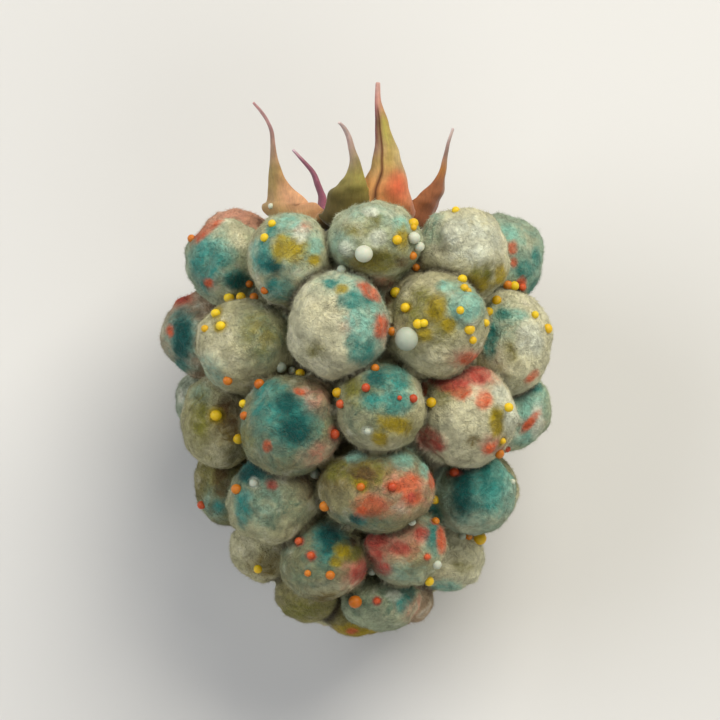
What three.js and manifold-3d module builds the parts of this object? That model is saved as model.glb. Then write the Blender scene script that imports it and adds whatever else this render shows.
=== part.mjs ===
// A ripe raspberry, picked with its calyx on and lying on its side.
//
// The fruit is one grown piece: drupelets in rings round a core, with larger lobes and small round
// beads standing on them. The calyx is a shallow disc with a scar in its middle and five pointed
// sepals. Units are millimetres, +Z is up. The pieces are shaped upright, with the tip at the
// bottom and the calyx on top, and the whole berry is then laid down on its back.

import * as THREE from "three";
import { mergeVertices } from "three/addons/utils/BufferGeometryUtils.js";
import Module from "manifold-3d";

const wasm = await Module();
wasm.setup();

// Driving dimensions
const TILT = 12 * THREE.MathUtils.DEG2RAD; // slope of the axis as it lies, tip end lower
const REST_CUT = 0.2; // how much of the lowest drupelets is pressed flat
const MIDDLE_X = -0.24; // middle of the berry's box across, from the axis
const MIDDLE_Y = 14.8; // middle of the berry's box along, from the tip
const CLEARANCE = 0.3; // gap between the fruit and the calyx
const BEAD_SINK = 0.35; // share of a bead's radius that is under the skin
const VIEW_DISTANCE = 400; // the front beads are placed as seen from this far in front of the axis
const BLADE_THICKNESS = 0.62; // sepals, at least

// Drupelets, ring by ring from the calyx down. Each one is
// [bearing round the axis in degrees, distance from the axis, height above the tip,
//  half width, half height]. Bearing 0 faces the front, and 90 is on the right.
const RINGS = {
  calyxRing: [
    [-70, 7.95, 21.1, 2.25, 2.45],
    [-30, 7.7, 21.2, 2.4, 2.6],
    [6, 7.4, 22.2, 2.6, 2.25],
    [48, 7.7, 21.5, 2.6, 2.65],
    [88, 7.95, 21.3, 2.45, 2.5],
    [128, 7.7, 21.3, 2.5, 2.5],
    [169, 7.6, 21.5, 2.5, 2.5],
    [209.5, 7.7, 21.2, 2.5, 2.5],
    [250, 7.3, 21.5, 2.6, 2.55],
  ],
  shoulder: [
    [-50, 8.3, 16.4, 2.75, 2.65],
    [-8.5, 8.3, 17.6, 2.75, 3.0],
    [31, 8.3, 17.6, 2.75, 2.95],
    [74, 8.7, 16.6, 2.3, 3.0],
    [110, 8.4, 17.0, 2.6, 2.7],
    [145, 8.3, 17.2, 2.6, 2.7],
    [180, 8.3, 17.0, 2.7, 2.8],
    [223, 8.4, 17.1, 2.7, 2.8],
    [267, 8.75, 17.1, 2.45, 2.55],
  ],
  waist: [
    [-72, 8.2, 12.2, 2.25, 2.6],
    [-29, 8.0, 12.0, 2.75, 2.8],
    [8, 7.9, 13.0, 2.5, 2.5],
    [47, 8.0, 12.5, 2.8, 2.85],
    [88, 8.25, 12.9, 2.4, 2.4],
    [122, 8.1, 12.6, 2.6, 2.6],
    [159, 8.05, 12.6, 2.7, 2.7],
    [201, 8.05, 12.6, 2.7, 2.7],
    [248, 8.4, 13.1, 2.6, 2.5],
  ],
  lower: [
    [-92, 7.1, 8.2, 2.3, 2.4],
    [-45, 6.9, 7.8, 2.55, 2.55],
    [7.5, 6.6, 8.5, 3.25, 2.45],
    [68, 6.9, 8.05, 2.35, 2.2],
    [106, 6.8, 8.2, 2.4, 2.4],
    [143, 6.8, 8.3, 2.4, 2.4],
    [180, 6.8, 8.2, 2.45, 2.4],
    [224, 6.9, 8.3, 2.6, 2.5],
  ],
  nose: [
    [-88, 5.2, 4.6, 2.0, 1.9],
    [-23.5, 4.9, 4.5, 2.45, 2.3],
    [31.5, 4.9, 5.1, 2.25, 2.1],
    [85, 5.05, 4.5, 2.05, 1.95],
    [132, 5.0, 4.6, 2.15, 2.1],
    [178, 5.0, 4.6, 2.15, 2.1],
    [225, 5.0, 4.6, 2.15, 2.1],
  ],
  tip: [
    [-85, 2.9, 2.2, 2.1, 1.7],
    [25, 2.75, 2.0, 2.25, 1.6],
    [100, 2.4, 2.3, 1.8, 1.7],
    [158, 2.6, 2.3, 1.9, 1.7],
    [216, 2.6, 2.2, 1.9, 1.7],
    [170, 0.5, 1.8, 2.3, 1.8],
  ],
};

// Core that the drupelets stand on, as [radius, height] from the tip end to the calyx end
const CORE_PROFILE = [
  [0, 1.2], [1.2, 1.5], [3.0, 2.7], [5.1, 5.0], [6.9, 8.2], [8.0, 12.6], [8.3, 17.0], [7.6, 21.0],
  [5.6, 22.2], [0, 22.4],
];

// Lobes: larger round swellings on the front drupelets, as seen from the front
// [across, height above the tip, radius]
const LOBES = [
  [0.22, 21.62, 0.5], [-0.77, 21.88, 0.37], [0.99, 22.52, 0.34], [3.19, 22.42, 0.51],
  [2.68, 16.84, 0.65], [4.37, 18.75, 0.48], [6.26, 18.56, 1.0], [8.66, 12.44, 0.51],
  [0.9, 5.25, 0.8], [-2.5, 13.3, 0.7], [7.29, 10.6, 0.4], [-0.26, 1.97, 0.45],
];

// Beads on the front drupelets, as seen from the front: [across, height above the tip, radius]
const FRONT_BEADS = [
  [-5.34, 22.5, 0.26], [-4.97, 23.32, 0.25], [-7.39, 19.18, 0.31], [-6.72, 19.12, 0.28],
  [-6.0, 19.12, 0.28], [-8.14, 18.22, 0.28], [-7.85, 17.51, 0.28], [-7.44, 14.49, 0.28],
  [-5.64, 14.21, 0.28], [-4.49, 15.23, 0.31], [-3.36, 14.85, 0.28], [-1.21, 13.76, 0.31],
  [-1.07, 13.14, 0.26], [-1.04, 20.64, 0.28], [-6.49, 12.49, 0.28], [-8.12, 12.49, 0.34],
  [-6.88, 11.17, 0.31], [-6.95, 8.32, 0.31], [-5.98, 8.66, 0.28], [-2.48, 9.24, 0.34],
  [-1.95, 7.41, 0.31], [2.09, 22.39, 0.28], [2.96, 23.3, 0.31], [2.03, 19.44, 0.31],
  [2.57, 18.56, 0.28], [3.27, 17.66, 0.34], [0.85, 15.12, 0.26], [2.97, 13.44, 0.26],
  [4.06, 13.22, 0.31], [6.17, 17.37, 0.31], [5.75, 20.14, 0.28], [8.57, 22.0, 0.28],
  [8.64, 21.12, 0.28], [8.35, 19.86, 0.31], [7.73, 18.95, 0.28], [7.29, 18.33, 0.28],
  [9.67, 14.64, 0.34], [6.97, 13.2, 0.34], [8.36, 12.94, 0.31], [7.28, 10.6, 0.34],
  [7.83, 10.28, 0.28], [5.35, 9.27, 0.3], [4.26, 7.75, 0.28], [-3.42, 5.38, 0.28],
  [-2.77, 4.62, 0.28], [-1.7, 3.5, 0.34], [3.43, 5.88, 0.36], [2.06, 4.95, 0.36],
  [4.3, 4.08, 0.28], [6.7, 5.53, 0.36], [-5.74, 3.84, 0.28], [3.86, 3.15, 0.28],
];

// Beads where the front view does not reach, worked out on each drupelet turned to the back
const BACK_BEADS_EACH = 1;
const BACK_BEAD_RADIUS = 0.3;

// Calyx disc, as [radius, height above the tip], with the scar of the stalk in the middle
const DISC_PROFILE = [
  [0, 22.4 + CLEARANCE], [4.2, 22.4 + CLEARANCE], [4.65, 23.0], [4.3, 23.45], [2.0, 23.75],
  [1.1, 23.7], [0.95, 24.15], [0.6, 24.3], [0, 24.1],
];

// Sepals, from the disc to the tip: [across, towards the front, height above the tip, width].
// turn is the bearing that the blade faces, and fold is how far its edges stand behind its rib,
// as a share of its width.
const SEPALS = {
  left: {
    turn: -82, fold: 0.12,
    route: [
      [-3.7, 0.4, 22.95, 2.9], [-4.4, 0.45, 23.9, 2.8], [-4.7, 0.5, 24.9, 2.2],
      [-4.82, 0.5, 26.1, 1.6], [-4.85, 0.45, 27.5, 1.15], [-5.0, 0.35, 28.9, 0.85],
      [-5.4, 0.2, 29.6, 0.7], [-5.95, 0.1, 30.1, 0.62],
    ],
  },
  backLeft: {
    turn: -150, fold: 0.1,
    route: [
      [-1.9, -3.6, 22.95, 2.6], [-2.15, -4.1, 24.0, 2.3], [-2.3, -4.4, 25.1, 1.7],
      [-2.6, -4.7, 26.1, 1.2], [-3.2, -5.1, 26.85, 0.85], [-3.85, -5.4, 27.7, 0.62],
    ],
  },
  front: {
    turn: -12, fold: 0.12,
    route: [
      [-0.9, 3.5, 22.95, 2.3], [-0.85, 4.05, 23.9, 2.5], [-0.75, 4.35, 24.9, 2.15],
      [-0.4, 4.5, 26.0, 1.1], [-0.32, 4.6, 27.2, 0.7], [-0.6, 4.85, 28.2, 0.64],
      [-1.12, 5.1, 28.9, 0.62],
    ],
  },
  frontRight: {
    turn: 28, fold: 0.2,
    route: [
      [1.75, 3.3, 22.95, 2.9], [1.75, 3.75, 24.0, 3.0], [1.55, 3.95, 25.1, 2.7],
      [1.62, 4.05, 26.4, 2.1], [1.6, 4.1, 27.8, 1.4], [1.3, 4.1, 29.1, 0.95],
      [1.05, 4.0, 30.2, 0.7], [0.98, 3.9, 31.2, 0.62],
    ],
  },
  right: {
    turn: 108, fold: 0.12,
    route: [
      [3.6, -1.1, 22.95, 2.9], [3.95, -1.25, 24.1, 2.6], [4.3, -1.4, 25.1, 1.9],
      [4.65, -1.5, 26.2, 1.2], [4.8, -1.55, 27.2, 0.8], [5.25, -1.6, 28.75, 0.62],
    ],
  },
};

// Numbers that repeat the same from run to run, for turning the drupelets' facets
function seeded(seed) {
  let state = seed;
  return () => {
    state = (state * 1664525 + 1013904223) >>> 0;
    return state / 4294967296;
  };
}

// A closed solid from a geometry, its doubled vertices joined
function solid(geometry) {
  const plain = new THREE.BufferGeometry();
  plain.setAttribute("position", geometry.getAttribute("position"));
  if (geometry.index) plain.setIndex(geometry.index);
  const merged = mergeVertices(plain, 1e-5);
  const mesh = new wasm.Mesh({
    numProp: 3,
    vertProperties: new Float32Array(merged.getAttribute("position").array),
    triVerts: new Uint32Array(merged.index.array),
  });
  return new wasm.Manifold(mesh);
}

function join(solids) {
  return solids.reduce((whole, next) => whole.add(next));
}

function geometryOf(manifold) {
  const mesh = manifold.getMesh();
  const geometry = new THREE.BufferGeometry();
  geometry.setAttribute("position", new THREE.BufferAttribute(mesh.vertProperties, 3));
  geometry.setIndex(new THREE.BufferAttribute(mesh.triVerts, 1));
  geometry.computeVertexNormals();
  return geometry;
}

// Upright axes: +X right, -Y front, +Z towards the calyx
function place(bearing, distance, height) {
  const angle = bearing * THREE.MathUtils.DEG2RAD;
  return new THREE.Vector3(
    distance * Math.sin(angle),
    -distance * Math.cos(angle),
    height,
  );
}

const random = seeded(7);
const drupeletShape = new THREE.OctahedronGeometry(1, 3);
const lobeShape = new THREE.OctahedronGeometry(1, 1);
const beadShape = new THREE.IcosahedronGeometry(1, 0);

// shape is a sphere of radius 1 with few flat sides
function roundLump(centre, halves, shape) {
  const lump = shape.clone();
  lump.rotateX(random() * Math.PI);
  lump.rotateZ(random() * Math.PI);
  lump.scale(halves.x, halves.y, halves.z);
  lump.translate(centre.x, centre.y, centre.z);
  return solid(lump);
}

const drupelets = Object.values(RINGS).flat().map(([bearing, distance, height, width, tall]) => ({
  centre: place(bearing, distance, height),
  halves: new THREE.Vector3(width, (width + tall) / 2, tall),
}));

// The foremost skin at a place seen from the front, or null where no drupelet is hit
function frontSkin(across, height) {
  let best = null;
  for (const { centre, halves } of drupelets) {
    const side = (across - centre.x) / halves.x;
    const rise = (height - centre.z) / halves.z;
    const rest = 1 - side * side - rise * rise;
    if (rest <= 0) continue;
    const y = centre.y - halves.y * Math.sqrt(rest);
    if (best && y >= best.point.y) continue;
    const point = new THREE.Vector3(across, y, height);
    const normal = point.clone().sub(centre).divide(halves).divide(halves).normalize();
    best = { point, normal };
  }
  return best;
}

// A bead or lobe seen at (across, height): things nearer the eye look larger and further out
const MIDDLE_HEIGHT = 15.62;
function seenSpot(across, height) {
  let spot = frontSkin(across, height);
  for (let pass = 0; pass < 2 && spot; pass += 1) {
    const nearer = 1 + spot.point.y / VIEW_DISTANCE;
    const lifted = MIDDLE_HEIGHT + (height - MIDDLE_HEIGHT) * nearer;
    spot = frontSkin(across * nearer, lifted) ?? spot;
  }
  return spot;
}

function bead({ point, normal }, radius, shape) {
  const centre = point.clone().addScaledVector(normal, -radius * BEAD_SINK);
  return roundLump(centre, new THREE.Vector3(radius, radius, radius), shape);
}

function frontBeads(rows, shape) {
  const beads = [];
  for (const [across, height, radius] of rows) {
    const spot = seenSpot(across, height);
    if (spot) beads.push(bead(spot, radius, shape));
  }
  return beads;
}

// On a drupelet that faces away, beads stand between its outermost point and its rim
function backBeads() {
  const beads = [];
  const golden = Math.PI * (3 - Math.sqrt(5));
  let count = 0;
  for (const { centre, halves } of drupelets) {
    if (centre.y < 1.5) continue;
    const out = new THREE.Vector3(centre.x, centre.y, (centre.z - 14) * 0.5).normalize();
    const side = new THREE.Vector3(0, 0, 1).cross(out).normalize();
    const up = out.clone().cross(side);
    for (let i = 0; i < BACK_BEADS_EACH; i += 1) {
      const turn = golden * count;
      const lean = 0.75 + 0.35 * random();
      count += 1;
      const direction = out.clone().multiplyScalar(Math.cos(lean));
      direction.addScaledVector(side, Math.sin(lean) * Math.cos(turn));
      direction.addScaledVector(up, Math.sin(lean) * Math.sin(turn));
      const point = direction.clone().multiply(halves).add(centre);
      const normal = direction.clone().divide(halves).normalize();
      beads.push(bead({ point, normal }, BACK_BEAD_RADIUS, beadShape));
    }
  }
  return beads;
}

function lathe(profile, segments) {
  const points = profile.map(([radius, height]) => new THREE.Vector2(radius, height));
  const turned = new THREE.LatheGeometry(points, segments);
  turned.rotateX(Math.PI / 2);
  return solid(turned);
}

// A sepal is a tube of lens-shaped section that follows its route and narrows to its tip
function sepal({ turn, fold, route }) {
  const sides = 8;
  const steps = route.length + 2;
  const middle = new THREE.CatmullRomCurve3(route.map(([x, front, h]) => new THREE.Vector3(x, -front, h)));
  const angle = turn * THREE.MathUtils.DEG2RAD;
  const across = new THREE.Vector3(Math.cos(angle), Math.sin(angle), 0);
  const tube = new THREE.CylinderGeometry(1, 1, 1, sides, steps);
  const position = tube.getAttribute("position");
  for (let i = 0; i < position.count; i += 1) {
    const along = position.getY(i) + 0.5;
    const station = along * (route.length - 1);
    const lower = Math.min(Math.floor(station), route.length - 2);
    const width = THREE.MathUtils.lerp(route[lower][3], route[lower + 1][3], station - lower);
    const point = middle.getPoint(along);
    const forward = middle.getTangent(along);
    const outward = across.clone().cross(forward).normalize();
    const sideways = position.getX(i);
    const through = position.getZ(i);
    const rib = -fold * width * Math.abs(sideways);
    point.addScaledVector(across, sideways * width * 0.5);
    point.addScaledVector(outward, through * BLADE_THICKNESS * 0.5 + rib);
    position.setXYZ(i, point.x, point.y, point.z);
  }
  return solid(tube);
}

// The berry as it lies: its axis along +Y with the tip end lower, its front turned up
const berry = new THREE.Group();
berry.rotation.x = TILT - Math.PI / 2;

function lowestPoint() {
  const up = new THREE.Vector3(0, 0, 1).applyEuler(new THREE.Euler(-berry.rotation.x, 0, 0));
  let lowest = Infinity;
  for (const { centre, halves } of drupelets) {
    const reach = up.clone().multiply(halves).length();
    lowest = Math.min(lowest, centre.dot(up) - reach);
  }
  return lowest;
}

berry.position.set(-MIDDLE_X, -MIDDLE_Y, -lowestPoint() - REST_CUT);
berry.updateMatrixWorld();

// Everything below the surface it lies on, in the upright axes
const ground = new THREE.BoxGeometry(80, 80, 10);
ground.translate(0, 0, -5);
ground.applyMatrix4(berry.matrixWorld.clone().invert());

const fruit = join([
  lathe(CORE_PROFILE, 24),
  ...drupelets.map(({ centre, halves }) => roundLump(centre, halves, drupeletShape)),
  ...frontBeads(LOBES, lobeShape),
  ...frontBeads(FRONT_BEADS, beadShape),
  ...backBeads(),
]).subtract(solid(ground));

const calyx = join([lathe(DISC_PROFILE, 20), ...Object.values(SEPALS).map(sepal)]);

const drupeletsMesh = new THREE.Mesh(
  geometryOf(fruit),
  new THREE.MeshStandardMaterial({ color: "#9a8f6c", roughness: 0.85, metalness: 0 }),
);
drupeletsMesh.name = "drupelets";

const calyxMesh = new THREE.Mesh(
  geometryOf(calyx),
  new THREE.MeshStandardMaterial({ color: "#9a7a3c", roughness: 0.75, metalness: 0 }),
);
calyxMesh.name = "calyx";

berry.add(drupeletsMesh, calyxMesh);

export default berry;
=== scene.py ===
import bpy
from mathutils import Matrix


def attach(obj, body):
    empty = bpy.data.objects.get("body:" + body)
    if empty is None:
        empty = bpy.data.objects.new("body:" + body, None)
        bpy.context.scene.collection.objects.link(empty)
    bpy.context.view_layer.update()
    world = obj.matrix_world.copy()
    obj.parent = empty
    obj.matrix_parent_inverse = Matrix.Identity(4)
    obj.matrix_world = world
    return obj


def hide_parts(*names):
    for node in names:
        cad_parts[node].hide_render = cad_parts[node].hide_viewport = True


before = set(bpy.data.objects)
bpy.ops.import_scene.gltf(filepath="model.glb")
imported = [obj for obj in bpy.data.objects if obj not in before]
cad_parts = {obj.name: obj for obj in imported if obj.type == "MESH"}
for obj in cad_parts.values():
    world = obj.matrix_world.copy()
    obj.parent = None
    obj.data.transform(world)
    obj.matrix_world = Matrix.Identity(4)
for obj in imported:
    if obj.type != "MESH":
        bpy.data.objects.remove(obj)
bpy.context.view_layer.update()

import math

import bmesh
import bpy
import numpy as np
from mathutils import Matrix, Vector, noise
from mathutils.bvhtree import BVHTree

# Fruit
# Forty-eight soft drupelets, grown together in rings round a core. Each is a round downy ball,
# felted and a little lumpy, and its skin is stained in patches of several pigments.

# Shaped upright in millimetres: +X right, -Y towards the front, +Z towards the calyx.
TILT = math.radians(12)
REST_CUT = 0.2
MIDDLE_X = -0.24
MIDDLE_Y = 14.8
MIDDLE_HEIGHT = 15.62
VIEW_DISTANCE = 400

# Ring by ring from the calyx down: bearing round the axis in degrees, distance from the axis,
# height above the tip, half width, half height, ground colour. Bearing 0 faces the front.
RINGS = {
    "calyx ring": [
        (-70, 7.95, 21.1, 2.25, 2.45, "sage"),
        (-30, 7.7, 21.2, 2.4, 2.6, "straw"),
        (6, 7.4, 22.2, 2.6, 2.25, "sage"),
        (48, 7.7, 21.5, 2.6, 2.65, "cream"),
        (88, 7.95, 21.3, 2.45, 2.5, "grey green"),
        (128, 7.7, 21.3, 2.5, 2.5, "straw"),
        (169, 7.6, 21.5, 2.5, 2.5, "cream"),
        (209.5, 7.7, 21.2, 2.5, 2.5, "sage"),
        (250, 7.3, 21.5, 2.6, 2.55, "peach"),
    ],
    "shoulder": [
        (-50, 8.3, 16.4, 2.75, 2.65, "straw"),
        (-8.5, 8.3, 17.6, 2.75, 3.0, "cream"),
        (31, 8.3, 17.6, 2.75, 2.95, "straw"),
        (74, 8.7, 16.6, 2.3, 3.0, "cream"),
        (110, 8.4, 17.0, 2.6, 2.7, "cream"),
        (145, 8.3, 17.2, 2.6, 2.7, "khaki"),
        (180, 8.3, 17.0, 2.7, 2.8, "sage"),
        (223, 8.4, 17.1, 2.7, 2.8, "straw"),
        (267, 8.75, 17.1, 2.45, 2.55, "tan"),
    ],
    "waist": [
        (-72, 8.2, 12.2, 2.25, 2.6, "straw"),
        (-29, 8.0, 12.0, 2.75, 2.8, "khaki"),
        (8, 7.9, 13.0, 2.5, 2.5, "straw"),
        (47, 8.0, 12.5, 2.8, 2.85, "cream"),
        (88, 8.25, 12.9, 2.4, 2.4, "sage"),
        (122, 8.1, 12.6, 2.6, 2.6, "straw"),
        (159, 8.05, 12.6, 2.7, 2.7, "cream"),
        (201, 8.05, 12.6, 2.7, 2.7, "khaki"),
        (248, 8.4, 13.1, 2.6, 2.5, "grey green"),
    ],
    "lower": [
        (-92, 7.1, 8.6, 2.2, 2.25, "olive"),
        (-45, 6.9, 7.8, 2.55, 2.55, "straw"),
        (7.5, 6.6, 8.5, 3.25, 2.45, "khaki"),
        (64, 7.0, 8.15, 2.45, 2.3, "grey green"),
        (106, 6.8, 8.2, 2.4, 2.4, "straw"),
        (143, 6.8, 8.3, 2.4, 2.4, "sage"),
        (180, 6.8, 8.2, 2.45, 2.4, "cream"),
        (224, 6.9, 8.3, 2.6, 2.5, "khaki"),
    ],
    "nose": [
        (-88, 5.25, 4.95, 1.95, 1.8, "straw"),
        (-23.5, 4.9, 4.5, 2.45, 2.3, "khaki"),
        (31.5, 4.9, 5.1, 2.25, 2.1, "straw"),
        (85, 5.05, 4.5, 2.05, 1.95, "cream"),
        (132, 5.0, 4.6, 2.15, 2.1, "straw"),
        (178, 5.0, 4.6, 2.15, 2.1, "grey green"),
        (225, 5.0, 4.6, 2.15, 2.1, "cream"),
    ],
    "tip": [
        (-85, 2.8, 2.5, 2.05, 1.6, "khaki"),
        (25, 2.75, 2.0, 2.25, 1.6, "sage"),
        (100, 2.4, 2.3, 1.8, 1.7, "tan"),
        (158, 2.6, 2.3, 1.9, 1.7, "khaki"),
        (216, 2.6, 2.2, 1.9, 1.7, "straw"),
        (170, 0.5, 1.8, 2.3, 1.8, "olive"),
    ],
}

GROUND_COLOURS = {
    "cream": "#d3d0ac",
    "straw": "#b9b48a",
    "sage": "#adb592",
    "grey green": "#98a58b",
    "khaki": "#989166",
    "olive": "#7f7746",
    "peach": "#cf9c7e",
    "tan": "#ad9476",
}

# The core that the drupelets stand on: radius, height
CORE_PROFILE = [
    (0, 1.4), (1.0, 1.7), (2.5, 3.1), (4.4, 5.3), (6.1, 8.4), (7.2, 12.6), (7.5, 17.0),
    (7.0, 21.0), (5.3, 22.1), (0, 22.3),
]

# Felted lobes that swell from the front drupelets, as seen from the front: across, height, radius,
# and how far the middle lies under the skin as a share of the radius
LOBES = [
    (-0.77, 21.88, 0.37, 0.2), (0.99, 22.52, 0.34, 0.2), (3.19, 22.42, 0.51, 0.2),
    (4.37, 18.75, 0.48, 0.2), (6.05, 18.45, 0.95, 0.0), (8.66, 12.44, 0.51, 0.2),
    (0.9, 5.25, 0.8, 0.3), (-2.5, 13.3, 0.7, 0.3), (7.29, 10.6, 0.4, 0.2), (-0.26, 1.97, 0.45, 0.3),
    (5.2, 22.6, 0.9, 0.45), (6.9, 21.6, 0.9, 0.45), (7.9, 12.9, 0.55, 0.1), (8.75, 15.1, 0.9, 0.4),
]

# Stains, in the order in which they lie over each other. The first six are broad thin washes.
PIGMENTS = {
    "cream": "#d2cca6",
    "mist": "#93b39c",
    "slate": "#6a8268",
    "moss": "#8a8448",
    "umber": "#756226",
    "salmon": "#c98f74",
    "olive": "#7c7a2e",
    # brown on the front is mostly painted shadow beside and under neighbouring drupelets
    "brown": "#5c4322",
    "aqua": "#8cc2ae",
    "teal": "#2a867c",
    "deep": "#00524d",
    "ochre": "#a9920e",
    "pale": "#d8dcc6",
    "coral": "#d25a2f",
    "red": "#ba4b3e",
}
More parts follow.
